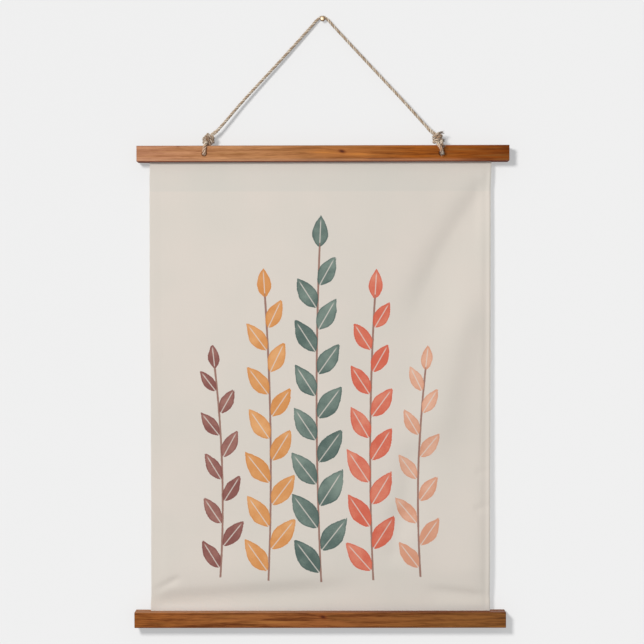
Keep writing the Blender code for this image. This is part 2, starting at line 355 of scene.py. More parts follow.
def makeSky():
    world = bpy.data.worlds.new("paleRoom")
    world.use_nodes = True
    graph = Graph(world.node_tree)
    side = Vector(light["skyFrom"]).normalized()
    towards = graph.vector("DOT_PRODUCT", graph.coordinates("Generated"), side).out("Value")
    mean = 1 - light["skyLean"] * side.y * 2 / 3  # over the half of the sky that a face to the viewer sees
    setInputs(world.node_tree.nodes["Background"], {
        "Color": (*light["skyTint"], 1),
        "Strength": (1 + towards * light["skyLean"]) * (light["skyLevel"] / mean),
    })
    bpy.context.scene.world = world
    bpy.context.scene.view_settings.view_transform = "Standard"


def makeWall():
    # A pale wall behind the hanging. It only shows from its front, so that the back can be looked at.
    # Its own glow makes up for the lamp's slant, so that it is equally bright all over.
    reach = light["wallReach"]
    mesh = bpy.data.meshes.new("paleWall")
    corners = [(-reach, 0, -reach), (reach, 0, -reach), (reach, 0, reach), (-reach, 0, reach)]
    mesh.from_pydata(corners, [], [(0, 1, 2, 3)])
    wall = addObject("paleWall", mesh)
    material, graph, shader = startMaterial("palePaint")
    paint = Vector(paintValue(*light["wallTone"])[:3])
    lampWay = graph.vector("DISTANCE", graph.coordinates(), light["keyPlace"]).out("Value")
    level = light["keyLevel"] + light["wallLevel"] + light["cottonLevel"]
    lampLight = graph.scaled(light["keyTint"], abs(light["keyPlace"][1]) * level / lampWay)
    bothLights = graph.vector("ADD", lampLight, Vector(light["skyTint"]) * light["skyLevel"])
    missing = graph.vector("SUBTRACT", (1, 1, 1), graph.scaled(bothLights, light["wallShare"]))
    setInputs(shader, {
        "Base Color": (*(paint * light["wallShare"]), 1),
        "Roughness": 1.0,
        "Specular IOR Level": 0.0,
        "Emission Color": graph.vector("MULTIPLY", missing, paint),
        "Emission Strength": 1.0,
    })
    behind = graph.add("ShaderNodeNewGeometry").out("Backfacing")
    clear = graph.add("ShaderNodeBsdfTransparent")
    sides = graph.add("ShaderNodeMixShader", None, {0: behind, 1: Wire(graph, shader.outputs[0]), 2: clear})
    setInputs(material.node_tree.nodes["Material Output"], {"Surface": sides})
    mesh.materials.append(material)
    wall.visible_diffuse = False
    wall.visible_glossy = False
    wall.visible_shadow = False
    wallOnly = bpy.data.collections.new("wallOnly")
    wallOnly.objects.link(wall)
    makeKeyLight("wallLight", light["wallLevel"], wallOnly)
    return wallOnly


def makeCottonLight(wallOnly):
    # The cloth's shadow is paler than the rails', so one lamp's light is stopped by all but the cloth
    solid = bpy.data.collections.new("letsNoLightThrough")
    for name in ("hangingTwineStrands", "topRailFront", "topRailBack", "bottomRailFront", "bottomRailBack"):
        solid.objects.link(bpy.data.objects[name])
    lamp = makeKeyLight("throughCotton", light["cottonLevel"], wallOnly)
    lamp.light_linking.blocker_collection = solid


# Twine. Its route is in millimetres.


twine = {
    "diameter": 3.8,
    "lay": 12.0,
    "coreGap": 4.2,  # between the two runs that a knot is wrapped round
    "pointsPerTurn": 14,
    "unevenReach": {"share": 0.4, "step": 0.83, "start": 1.1},  # how the turns of a knot wander
    "unevenAlong": 0.51,
    "tilt": math.radians(48),
    "railTop": -161.9,
    "curveSteps": 12,
    "ringSpacing": 1.5,
    "strandRadius": 1.0,
    "strandOffset": 0.85,
    "slack": 0.6,
    "step": 0.55,
    "left": {
        "side": -1, "across": 144.5, "depth": -13.0, "height": 7.9, "swing": math.radians(14),
        "turns": 2.5, "spacing": 4.0, "reach": 3.6, "stretch": 1.5, "disorder": 0.9,
        "tail": (),
        "tuck": ((2.1, -0.5, -7.2),),
        "inFront": ((148.4, -22.9, -1.4), (147.6, -21.8, 1.8), (147.0, -19.4, 3.9), (146.8, -16.6, 5.4)),
    },
    "right": {
        "side": 1, "across": 144.4, "depth": -13.0, "height": 9.3, "swing": 0.0,
        "turns": 1.5, "spacing": 4.2, "reach": 3.7, "stretch": 1.0, "disorder": 0.5,
        "tail": ((149.7, -26.8, -9.8), (148.8, -27.0, -6.8), (147.4, -26.7, -3.4), (145.9, -24.8, -0.3),
                 (145.0, -21.8, 2.4), (145.6, -18.4, 3.7)),
        "tuck": ((2.1, 1.0, -4.0),),
        "inFront": ((149.5, -22.9, -1.4), (149.7, -21.6, 2.0), (150.0, -18.8, 4.2), (150.0, -16.4, 5.7)),
    },
    "throughRail": (
        (148.5, -6.3, 4.6), (149.0, -4.0, 2.6), (149.4, -2.75, -1.2), (149.4, -2.6, -4.6),
        (149.4, -2.75, -7.4), (149.4, -3.9, -9.65), (149.4, -6.6, -10.4), (149.4, -12.8, -10.4),
        (149.4, -19.0, -10.4), (149.4, -21.7, -9.65), (149.4, -22.85, -7.4), (149.4, -23.0, -4.6),
    ),
    "tailInWraps": ((2.1, 0.0, -1.4), (2.15, 0.0, 0.9), (2.6, 0.8, 3.0), (2.9, 2.6, 3.9), (1.7, 4.2, 3.7)),
    "standingInWraps": (
        (-2.1, 0.7, -4.4), (-2.1, 0.05, -1.6), (-2.1, 0.0, 2.0), (-2.1, 0.0, 5.5), (-1.6, 0.0, 10.0),
    ),
    "overNail": (
        (-100.2, -9.8, -103.4), (-52.0, -6.9, -51.0), (-16.0, -4.7, -11.1), (-5.6, -4.25, 0.4),
        (0.0, -4.2, 3.15),
        (5.6, -4.25, 0.4), (16.0, -4.7, -11.0), (52.0, -6.9, -50.4), (100.2, -9.8, -102.8),
    ),
}


def onOval(turn, reach):
    # A point on the wraps' path round the two cores: (across the pair, towards the viewer)
    halfFlat = twine["coreGap"] / 2
    halfRound = math.pi * reach
    whole = 2 * halfRound + 4 * halfFlat
    way = (turn * whole) % whole
    if way < halfFlat:
        return -way, -reach
    way -= halfFlat
    if way < halfRound:
        angle = way / reach
        return -halfFlat - reach * math.sin(angle), -reach * math.cos(angle)
    way -= halfRound
    if way < 2 * halfFlat:
        return way - halfFlat, reach
    way -= 2 * halfFlat
    if way < halfRound:
        angle = way / reach
        return halfFlat + reach * math.sin(angle), reach * math.cos(angle)
    return halfFlat - (way - halfRound), -reach


def wrapPoints(knot):
    perTurn = twine["pointsPerTurn"]
    points = []
    for i in range(round(knot["turns"] * perTurn) - 1, 1, -1):
        # a hand-tied knot's turns don't lie as evenly as a coil's
        uneven = twine["unevenReach"]
        wander = knot["disorder"] * math.sin(i * uneven["step"] + uneven["start"])
        across, forward = onOval(i / perTurn, knot["reach"] + uneven["share"] * wander)
        along = knot["spacing"] * (i / perTurn - knot["turns"] / 2)
        points.append((across, forward, along + knot["disorder"] * math.sin(i * twine["unevenAlong"])))
    return points


def knotFrame(knot):
    # The knot's middle and its three directions: across, towards the viewer, and along
    side = knot["side"]
    tilt = twine["tilt"]
    middle = Vector((side * knot["across"], knot["depth"], twine["railTop"] + knot["height"]))
    along = Vector((-side * math.sin(tilt), 0, math.cos(tilt)))
    inward = Vector((-side * math.cos(tilt), 0, -math.sin(tilt)))
    viewer = Vector((0, -1, 0))
    across = inward * math.cos(knot["swing"]) + viewer * math.sin(knot["swing"])
    forward = viewer * math.cos(knot["swing"]) - inward * math.sin(knot["swing"])
    return middle, across, forward, along


def knotRoute(knot):
    middle, across, forward, along = knotFrame(knot)

    def inKnot(points, stretch=1.0):
        return [middle + across * a + forward * f + along * (v * stretch) for a, f, v in points]

    def onRail(points):
        return [Vector((knot["side"] * x, y, twine["railTop"] + z)) for x, y, z in points]

    route = onRail(knot["tail"]) + inKnot(knot["tuck"]) + inKnot(twine["tailInWraps"], knot["stretch"])
    route += inKnot(wrapPoints(knot)) + onRail(twine["throughRail"]) + onRail(knot["inFront"])
    return route + inKnot(twine["standingInWraps"], knot["stretch"])


def smoothCurve(points):
    # A centripetal curve through the points, so that it doesn't swing out where they are close
    padded = [points[0] * 2 - points[1]] + points + [points[-1] * 2 - points[-2]]
    curve = []
    for p0, p1, p2, p3 in zip(padded, padded[1:], padded[2:], padded[3:]):
        t1 = (p1 - p0).length ** 0.5
        t2 = t1 + (p2 - p1).length ** 0.5
        t3 = t2 + (p3 - p2).length ** 0.5
        for step in range(twine["curveSteps"]):
            t = t1 + (t2 - t1) * step / twine["curveSteps"]
            a1 = p0.lerp(p1, t / t1)
            a2 = p1.lerp(p2, (t - t1) / (t2 - t1))
            a3 = p2.lerp(p3, (t - t2) / (t3 - t2))
            b1 = a1.lerp(a2, t / t2)
            b2 = a2.lerp(a3, (t - t1) / (t3 - t1))
            curve.append(b1.lerp(b2, (t - t1) / (t2 - t1)))
    return curve + [points[-1]]


def twineCentre():
    overNail = [Vector(point) for point in twine["overNail"]]
    route = knotRoute(twine["left"]) + overNail + knotRoute(twine["right"])[::-1]
    return evenlySpaced([point * mm for point in smoothCurve(route)], twine["ringSpacing"] * mm)


def evenlySpaced(curve, spacing):
    lengths = [0.0]
    for before, after in zip(curve, curve[1:]):
        lengths.append(lengths[-1] + (after - before).length)
    count = round(lengths[-1] / spacing)
    points = []
    segment = 0
    for i in range(count + 1):
        way = lengths[-1] * i / count
        while segment < len(curve) - 2 and lengths[segment + 1] < way:
            segment += 1
        part = (way - lengths[segment]) / (lengths[segment + 1] - lengths[segment])
        points.append(curve[segment].lerp(curve[segment + 1], part))
    return points


def makeLineCurve(name, points):
    data = bpy.data.curves.new(name, "CURVE")
    data.dimensions = "3D"
    spline = data.splines.new("POLY")
    spline.points.add(len(points) - 1)
    for target, point in zip(spline.points, points):
        target.co = (*point, 1)
    return addObject(name, data)


def strandTree(material):
    # Lays a number of strands round a curve. Each is a little uneven, and they open up in the knots.
    inputs = (
        ("Strands", "NodeSocketInt", 3),
        ("Lay", "NodeSocketFloat", 0.012),
        ("Strand Radius", "NodeSocketFloat", 0.001),
        ("Offset", "NodeSocketFloat", 0.0009),
        ("Step", "NodeSocketFloat", 0.0005),
        ("Unevenness", "NodeSocketFloat", 0.12),
        ("Knots From", "NodeSocketFloat", 0.13),
        ("Slack", "NodeSocketFloat", 0.3),
        ("Loose Over", "NodeSocketFloat", 0.006),
        ("Worn From", "NodeSocketFloat", 0.988),
        ("Worn To", "NodeSocketFloat", 0.45),
        ("Bump Scale", "NodeSocketFloat", 160.0),
        ("Swell Scale", "NodeSocketFloat", 240.0),
        ("Sides", "NodeSocketInt", 9),
    )
    graph, given = startNodeTree("twistedStrands", inputs)
    path = graph.add(
        "GeometryNodeResampleCurve", {"mode": "LENGTH"},
        {"Curve": given.out("Geometry"), "Length": given.out("Step")})
    path = graph.add("GeometryNodeSetCurveNormal", {"mode": "MINIMUM_TWIST"}, {"Curve": path})
    copies = graph.add(
        "GeometryNodeDuplicateElements", {"domain": "SPLINE"},
        {"Geometry": path, "Amount": given.out("Strands")})
    which = copies.out("Duplicate Index")
    parameter = graph.add("GeometryNodeSplineParameter")
    along = parameter.out("Length")
    worn = graph.ease(parameter.out("Factor"), given.out("Worn From"), 1.0, 1.0, given.out("Worn To"))
    angle = (along / given.out("Lay") + which / given.out("Strands")) * math.tau
    normal = graph.add("GeometryNodeInputNormal").out("Normal")
    tangent = graph.add("GeometryNodeInputTangent")
    binormal = graph.vector("CROSS_PRODUCT", tangent, normal)
    turnedOne = graph.scaled(normal, angle.cosine())
    turnedTwo = graph.scaled(binormal, angle.sine())
    bump = graph.clouds(graph.joined(along * given.out("Bump Scale"), which * 7.3, 0.0), 1.0) - 0.5
    middle = graph.add("GeometryNodeInputPosition")
    sideways = abs(graph.split(middle).out("X"))
    knotsFrom = given.out("Knots From")
    slack = graph.ease(sideways, knotsFrom, knotsFrom + given.out("Loose Over")) * given.out("Slack")
    reach = given.out("Offset") * (1 + bump * 0.35 + slack) * worn
    offset = graph.scaled(graph.vector("ADD", turnedOne, turnedTwo), reach)
    swell = graph.clouds(graph.joined(along * given.out("Swell Scale"), which * 3.1, 5.0), 1.0)
    thickness = (1 + swell * given.out("Unevenness") + slack * 0.4) * worn
    strands = graph.stored(copies, "strandWay", along + which * 0.37)
    strands = graph.stored(strands, "strandTone", which / given.out("Strands"))
    strands = graph.stored(strands, "twineMiddle", middle, "FLOAT_VECTOR")
    strands = graph.add("GeometryNodeSetPosition", None, {"Geometry": strands, "Offset": offset})
    strands = graph.add("GeometryNodeSetCurveRadius", None, {"Curve": strands, "Radius": thickness})
    outline = graph.circle(given.out("Sides"), given.out("Strand Radius"))
    parts = graph.split(graph.add("GeometryNodeInputPosition"))
    for axis in "XY":
        outline = graph.stored(outline, "strand" + axis, parts.out(axis) * 1000)
    kept = graph.add(
        "GeometryNodeInputNamedAttribute", {"data_type": "FLOAT_VECTOR"}, {"Name": "twineMiddle"})
    out = graph.vector("DISTANCE", graph.add("GeometryNodeInputPosition"), kept).out("Value")
    tubes = graph.stored(graph.tubes(strands, outline), "fromMiddle", out * 1000)
    smooth = graph.add("GeometryNodeSetShadeSmooth", None, {"Geometry": tubes})
    endNodeTree(graph, smooth, material)
    return graph


def fibreTree(material):
    # Loose fibres that stand off a surface, each bent its own way and thinner towards its tip
    inputs = (
        ("Density", "NodeSocketFloat", 1000.0),
        ("Length", "NodeSocketFloat", 0.003),
        ("Lean", "NodeSocketFloat", 0.8),
        ("Curl", "NodeSocketFloat", 0.001),
        ("Thickness", "NodeSocketFloat", 0.00004),
        ("ToneAndShade", "NodeSocketFloat", 0.8),
        ("Points", "NodeSocketInt", 5),
        ("Drift Scale", "NodeSocketFloat", 420.0),
        ("Taper", "NodeSocketFloat", 0.75),
        ("Sides", "NodeSocketInt", 3),
        ("Seed", "NodeSocketInt", 1),
    )
    graph, given = startNodeTree("looseFibres", inputs)
    seed = given.out("Seed")
    roots = graph.add(
        "GeometryNodeDistributePointsOnFaces", None,
        {"Mesh": given.out("Geometry"), "Density": given.out("Density"), "Seed": seed})
    aside = graph.add(
        "FunctionNodeRandomValue", {"data_type": "FLOAT_VECTOR"},
        {0: (-1, -1, -1), 1: (1, 1, 1), "Seed": seed + 1})
    way = graph.vector("ADD", roots.out("Normal"), graph.scaled(aside, given.out("Lean")))
    turn = graph.add("FunctionNodeAlignRotationToVector", {"axis": "Z"}, {"Vector": way})
    size = graph.add(
        "FunctionNodeRandomValue", {"data_type": "FLOAT"}, {2: 0.35, 3: 1.0, "Seed": seed + 2}).out("Value")
    line = graph.add("GeometryNodeCurvePrimitiveLine", None, {"End": (0, 0, 1)})
    line = graph.add(
        "GeometryNodeResampleCurve", {"mode": "COUNT"}, {"Curve": line, "Count": given.out("Points")})
    size = graph.scaled((1, 1, 1), size * given.out("Length"))
    hairs = graph.add(
        "GeometryNodeInstanceOnPoints", None,
        {"Points": roots, "Instance": line, "Rotation": turn, "Scale": size})
    hairs = graph.add("GeometryNodeRealizeInstances", None, {"Geometry": hairs})
    part = graph.add("GeometryNodeSplineParameter")
    drift = graph.clouds(graph.add("GeometryNodeInputPosition"), given.out("Drift Scale"), 1.0)
    drift = graph.vector("SUBTRACT", drift.out("Color"), (0.5, 0.5, 0.5))
    bend = graph.scaled(drift, part ** 1.5 * given.out("Curl"))
    hairs = graph.add("GeometryNodeSetPosition", None, {"Geometry": hairs, "Offset": bend})
    hairs = graph.stored(hairs, "strandWay", part * 0.02)
    # a low tone brings the grooves' painted shade onto the fibres too
    hairs = graph.stored(hairs, "fromMiddle", 1.2 + given.out("ToneAndShade"))
    hairs = graph.stored(hairs, "strandTone", given.out("ToneAndShade"))
    size = 1 - part * given.out("Taper")
    hairs = graph.add("GeometryNodeSetCurveRadius", None, {"Curve": hairs, "Radius": size})
    tubes = graph.tubes(hairs, graph.circle(given.out("Sides"), given.out("Thickness")))
    endNodeTree(graph, tubes, material)
    return graph


jute = {
    "tones": ((122, 98, 74), (184, 156, 128), (214, 194, 170), (238, 226, 208)),
    # painted shade in the grooves between the strands
    "grooveShadeTone": (78, 56, 40),
    "grooveFrom": 1.15,  # millimetres from the twine's middle
    "grooveTo": 1.9,
    "toneFrom": 0.34,  # the darkest tone's place on the ramp, and the step to the next
    "toneStep": 0.14,
    "strandSpread": 0.26,
    "fibreTwist": 9.0,
    "fibreScale": (5.5, 5.5, 0.28),
    "fibreShare": 0.6,
    "patchShare": 0.3,
    "lighter": 0.07,
    "bump": 0.18 * mm,
    "roughness": 0.9,
    "tonedAndShadedSpots": (  # paler and pinker where the twine meets the rail's front; darker as painted shade in the two knots, and as a painted shadow in the right-hand rail hole
        {"middle": (-148.4, -23.0, -168.0), "reach": 8.5, "share": 0.5, "tone": (214, 158, 120)},
        {"middle": (148.2, -26.5, -166.5), "reach": 8.0, "share": 0.5, "tone": (212, 158, 120)},
        {"middle": (-144.5, -15.0, -154.2), "reach": 9.5, "share": 0.72, "tone": (124, 82, 46)},
        {"middle": (145.6, -15.0, -151.0), "reach": 8.0, "share": 0.5, "tone": (138, 94, 56)},
        {"middle": (149.4, -19.8, -172.8), "reach": 6.4, "share": 1.0, "tone": (104, 56, 28)},
    ),
}


def makeJute():
    material, graph, shader = startMaterial("twistedJute")
    way = graph.attribute("strandWay") * 1000
    across = graph.joined(graph.attribute("strandX"), graph.attribute("strandY"), 0.0)
    turned = graph.add(
        "ShaderNodeVectorRotate", {"rotation_type": "Z_AXIS"},
        {"Vector": across, "Angle": way * (math.tau / jute["fibreTwist"])})
    scaleX, scaleY, scaleWay = jute["fibreScale"]
    flat = graph.vector("MULTIPLY", turned, (scaleX, scaleY, 0.0))
    line = graph.vector("ADD", flat, graph.joined(0.0, 0.0, way * scaleWay))
    fibres = graph.clouds(line, 1.0, 3.0, 0.65)
    place = graph.coordinates()
    patches = graph.clouds(place, 160.0, 2.0)
    strand = graph.attribute("strandTone") * jute["strandSpread"]
    tone = fibres * jute["fibreShare"] + patches * jute["patchShare"] + strand + jute["lighter"]
    places = [jute["toneFrom"] + jute["toneStep"] * i for i in range(len(jute["tones"]))]
    stops = [(where, paintValue(*shade)) for where, shade in zip(places, jute["tones"])]
    colour = graph.ramp(stops, tone)
    # Spots of another tone: the dark ones are painted shade and a painted shadow
    for spot in jute["tonedAndShadedSpots"]:
        far = graph.vector("DISTANCE", place, Vector(spot["middle"]) * mm).out("Value") * 1000
        share = graph.ease(far + patches * 3, spot["reach"] * 0.5, spot["reach"] * 1.2, spot["share"], 0.0)
        share = share * graph.ease(fibres, 0.35, 0.65, 1.3, 0.7)
        colour = graph.covered(share, colour, spot["tone"])
    # Painted shade in the grooves between the strands, deeper the nearer a point lies to the twine's middle
    grooveShade = graph.ease(graph.attribute("fromMiddle"), jute["grooveFrom"], jute["grooveTo"], 0.9, 0.0)
    setInputs(shader, {
        "Base Color": graph.covered(grooveShade, colour, jute["grooveShadeTone"]),
        "Normal": graph.bump(0.7, jute["bump"], fibres),
        "Roughness": jute["roughness"],
        "Sheen Weight": 0.25,
        "Specular IOR Level": 0.25,
    })
    return material


# Loose fibres all over the twine. Sizes here and in the frays are in millimetres.
fuzz = {
    "density": 190000.0,  # fibres to a square metre of its surface
    "length": 2.7,
    "lean": 1.5,
    "curl": 2.2,
    "thickness": 0.04,
    "frayThickness": 0.075,
    "tone": 0.8,
    "seed": 11,
}


# Tufts where the twine frays. Each grows on a small patch: its middle, the way it points and its radius. A
# low tone paints a tuft dark, as shade.
frays = {
    "tailBrush": {"middle": (149.4, -26.8, -170.0), "way": (0.2, -0.05, -1.0), "radius": 1.3,
                  "count": 56, "length": 6.0, "lean": 0.24, "curl": 3.0, "tone": 0.9, "seed": 3},
    "tailWisps": {"middle": (149.0, -26.8, -168.2), "way": (0.05, -0.1, -1.0), "radius": 2.2,
                  "count": 30, "length": 10.5, "lean": 0.3, "curl": 3.0, "tone": 0.3, "seed": 21},
    "tailSide": {"middle": (148.4, -26.4, -163.4), "way": (1.0, -0.15, -0.35), "radius": 1.8,
                 "count": 40, "length": 7.5, "lean": 0.4, "curl": 4.0, "tone": 0.15, "seed": 5},
    "knotTop": {"middle": (147.4, -16.4, -145.8), "way": (1.0, -0.25, -0.12), "radius": 1.3,
                "count": 70, "length": 6.5, "lean": 0.32, "curl": 4.0, "tone": 0.3, "seed": 7},
    "knotSide": {"middle": (149.8, -16.8, -155.2), "way": (1.0, -0.3, -0.3), "radius": 1.6,
                 "count": 90, "length": 5.0, "lean": 0.36, "curl": 3.0, "tone": 0.1, "seed": 9},
    "leftStub": {"middle": (-147.4, -13.6, -158.9), "way": (-0.8, -0.3, -0.6), "radius": 1.6,
                 "count": 80, "length": 3.5, "lean": 0.5, "curl": 3.0, "tone": 0.5, "seed": 13},
    "leftTuft": {"middle": (-149.6, -15.6, -153.2), "way": (-1.0, -0.4, 0.1), "radius": 1.9,
                 "count": 130, "length": 3.2, "lean": 0.7, "curl": 3.0, "tone": 0.6, "seed": 15},
}


def makePatch(name, middle, way, radius):
    # A small round face that looks along way, for fibres to grow on
    bm = bmesh.new()
    bmesh.ops.create_circle(bm, cap_ends=True, radius=radius * mm, segments=12)
    mesh = meshFrom(bm, name)
    turn = Vector(way).to_track_quat("Z", "Y").to_matrix().to_4x4()
    turn.translation = Vector(middle) * mm
    mesh.transform(turn)
    return addObject(name, mesh)


def growFibres(name, surface, tree, look, density, thickness):
    return growMesh(name, surface, tree, {
        "Density": density,
        "Length": look["length"] * mm,
        "Lean": look["lean"],
        "Curl": look["curl"] * mm,
        "Thickness": thickness * mm,
        "ToneAndShade": look["tone"],
        "Seed": look["seed"],
    })


def makeTwine():
    material = makeJute()
    centre = twineCentre()
    path = makeLineCurve("twinePath", centre)
    strands = growMesh("hangingTwineStrands", path, strandTree(material), {
        "Lay": twine["lay"] * mm,
        "Strand Radius": twine["strandRadius"] * mm,
        "Offset": twine["strandOffset"] * mm,
        "Step": twine["step"] * mm,
        "Slack": twine["slack"],
    })
    discard(path)
    fibres = fibreTree(material)
    loose = [growFibres("twineFuzz", strands, fibres, fuzz, fuzz["density"], fuzz["thickness"])]
    for name, fray in frays.items():
        patch = makePatch(name + "Patch", fray["middle"], fray["way"], fray["radius"])
        density = fray["count"] / (math.pi * (fray["radius"] * mm) ** 2)
        loose.append(growFibres(name + "Fray", patch, fibres, fray, density, fuzz["frayThickness"]))
        discard(patch)
    for piece in (strands, *loose):
        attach(piece, "root")
    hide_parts("hanging_twine")
    length = sum((after - before).length for before, after in zip(centre, centre[1:]))
    fuzzFaces = sum(len(piece.data.polygons) for piece in loose)
    print("twine:", round(length, 4), "m,", len(strands.data.polygons), "faces, and fuzz", fuzzFaces)


# Rails


def turnedMesh(name, stations, sides, x=0.0, z=0.0):
    # A closed form turned about a line along Y, from stations of (Y, radius)
    bm = bmesh.new()
    rings = []
    for y, radius in stations:
        if radius == 0:
            rings.append([bm.verts.new((x, y, z))])
            continue
        turns = [math.tau * i / sides for i in range(sides)]
        rings.append([bm.verts.new((x + radius * math.cos(a), y, z + radius * math.sin(a))) for a in turns])
    for ring in (rings[0], rings[-1]):
        if len(ring) > 1:
            bm.faces.new(ring)
    for near, far in zip(rings, rings[1:]):
        for i in range(sides):
            j = (i + 1) % sides
            corners = [near[i % len(near)], near[j % len(near)], far[j % len(far)], far[i % len(far)]]
            bm.faces.new(list(dict.fromkeys(corners)))
    bmesh.ops.recalc_face_normals(bm, faces=bm.faces)
    return meshFrom(bm, name)


rail = {
    "round": 0.7 * mm,
    "roundSteps": 4,
    "sidePoints": 5,
    "stationStep": 9 * mm,
    "handWork": 0.1 * mm,  # how far a sanded face wanders
    "holeRadius": 2.35 * mm,
    "holeSpread": 149.4 * mm,
    "holeDrop": 10.4 * mm,
    "holeWear": 1.5 * mm,
    "holeShade": 0.62,
    # how much each part of the grain darkens the wood; a flame in it lightens the wood
    "grain": {"start": 0.72, "broad": 1.1, "fibre": 1.7, "hair": 1.7, "flame": 0.25, "full": 1.15},
    "holeShadeTone": (92, 50, 30),
    "knotTone": (118, 54, 24),
    "knotCore": (74, 32, 20),
    "paintedGlintTone": (204, 160, 132),
    "paintedGlintFade": (130.0, 215.0),  # where along the rail the painted highlight on the lower edge fades out, in millimetres
    "sheen": 0.08,
    "smoothBelow": math.radians(32),
}


def roundedOutline(depth, height, radius, inset):
    # A batten's section, drawn in by inset, as points of (Y, Z) from its middle
    halfY = depth / 2 - inset
    halfZ = height / 2 - inset
    corner = max(radius - inset, 0.05 * mm)
    arcs = []
    for signY, signZ, start in ((1, 1, 0), (-1, 1, 90), (-1, -1, 180), (1, -1, 270)):
        arc = []
        for step in range(rail["roundSteps"] + 1):
            angle = math.radians(start + 90 * step / rail["roundSteps"])
            y = signY * (halfY - corner) + corner * math.cos(angle)
            z = signZ * (halfZ - corner) + corner * math.sin(angle)
            arc.append((y, z))
        arcs.append(arc)
    outline = []
    for arc, following in zip(arcs, arcs[1:] + arcs[:1]):
        outline += arc
        y0, z0 = arc[-1]
        y1, z1 = following[0]
        for step in range(1, rail["sidePoints"]):
            part = step / rail["sidePoints"]
            outline.append((y0 + (y1 - y0) * part, z0 + (z1 - z0) * part))
    return outline


def battenStations(low, high):
    # (X, inset) along a batten: rounded ends and even steps between them
    radius = rail["round"]
    ends = []
    for i in range(rail["roundSteps"] + 1):
        angle = math.pi / 2 * i / rail["roundSteps"]
        ends.append((radius * (1 - math.cos(angle)), radius * (1 - math.sin(angle))))
    count = round((high - low - 2 * radius) / rail["stationStep"])
    middle = [(low + radius + (high - low - 2 * radius) * i / count, 0.0) for i in range(1, count)]
    left = [(low + reach, inset) for reach, inset in ends]
    right = [(high - reach, inset) for reach, inset in reversed(ends)]
    return left + middle + right


def makeBatten(name, node, material, seed, drills=None):
    low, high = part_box(node)
    middleY = (low.y + high.y) / 2
    middleZ = (low.z + high.z) / 2
    halfZ = (high.z - low.z) / 2
    bm = bmesh.new()
    rings = []
    for x, inset in battenStations(low.x, high.x):
        ring = []
        for y, z in roundedOutline(high.y - low.y, high.z - low.z, rail["round"], inset):
            wander = noise.noise(Vector((x * 30, seed + y * 300, z * 200)))
            shrink = 1 - rail["handWork"] * (0.5 + 0.5 * wander) / halfZ
            ring.append(bm.verts.new((x, middleY + y * shrink, middleZ + z * shrink)))
        rings.append(ring)
    for before, after in zip(rings, rings[1:]):
        for i in range(len(before)):
            bm.faces.new((before[i - 1], before[i], after[i], after[i - 1]))
    bm.faces.new(rings[0])
    bm.faces.new(rings[-1])
    bmesh.ops.recalc_face_normals(bm, faces=bm.faces)
    mesh = meshFrom(bm, name)
    mesh.materials.append(material)
    batten = addObject(name, mesh)
    if drills:
        cut = batten.modifiers.new("Twine holes", "BOOLEAN")
        cut.solver = "EXACT"
        cut.object = drills
        evaluated = batten.evaluated_get(bpy.context.evaluated_depsgraph_get())
        drilled = bpy.data.meshes.new_from_object(evaluated)
        batten.modifiers.clear()
        batten.data = drilled
    batten.data.shade_smooth()
    batten.data.set_sharp_from_angle(angle=rail["smoothBelow"])
    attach(batten, "root")
    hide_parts(node)
    return batten


def makeDrills():
    # Both holes for the twine, with worn mouths on the rail's two faces
    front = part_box("top_rail_front")[0].y
    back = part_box("top_rail_back")[1].y
    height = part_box("top_rail_front")[1].z - rail["holeDrop"]
    reach = 1 * mm
    wide = rail["holeRadius"] + rail["holeWear"] + reach
    stations = (
        (front - reach, wide),
        (front + rail["holeWear"], rail["holeRadius"]),
        (back - rail["holeWear"], rail["holeRadius"]),
        (back + reach, wide),
    )
    bm = bmesh.new()
    for x in (-rail["holeSpread"], rail["holeSpread"]):
        bm.from_mesh(turnedMesh("drill", stations, 32, x, height))
    return addObject("drills", meshFrom(bm, "drills"))


# The two rails' woods. Sizes are in millimetres.
topWood = {
    "name": "topRailPine",
    "light": ((197, 140, 104), (205, 147, 99), (178, 114, 61), (172, 95, 28), (137, 68, 15)),
    "dark": ((151, 96, 67), (151, 98, 57), (117, 67, 29), (117, 59, 14), (98, 45, 8)),
    "moss": (158, 108, 54),
    "flame": (212, 134, 62),
    "pith": (14.0, -31.0),
    "ringWidth": 5.2,
    "wander": 3.0,
    "rings": 0.22,
    "knots": (
        {"x": 24.2, "z": -169.6, "long": 4.4, "high": 2.5, "dark": 1.0, "push": 3.0},
        {"x": -182.4, "z": -163.4, "long": 2.4, "high": 1.0, "dark": 0.45, "push": 1.0},
        {"x": 92.0, "z": -176.5, "long": 2.0, "high": 1.0, "dark": 0.25, "push": 1.2},
    ),
    "flames": (
        {"x": 2.0, "z": -170.0, "long": 24.0, "high": 3.6},
        {"x": 46.0, "z": -173.5, "long": 20.0, "high": 2.6},
    ),
    "streaks": (),
    "holes": (-149.4, 149.4),
    "paintedLowEdge": {"tone": (146, 76, 54), "width": 0.6, "dark": 0.9, "paintedGlint": 0.36, "reach": 4.2},
    "paintedTopEdge": {"tone": (146, 108, 90), "tail": (146, 108, 90), "width": 1.2, "dark": 0.55},
    "seed": 2.0,
}
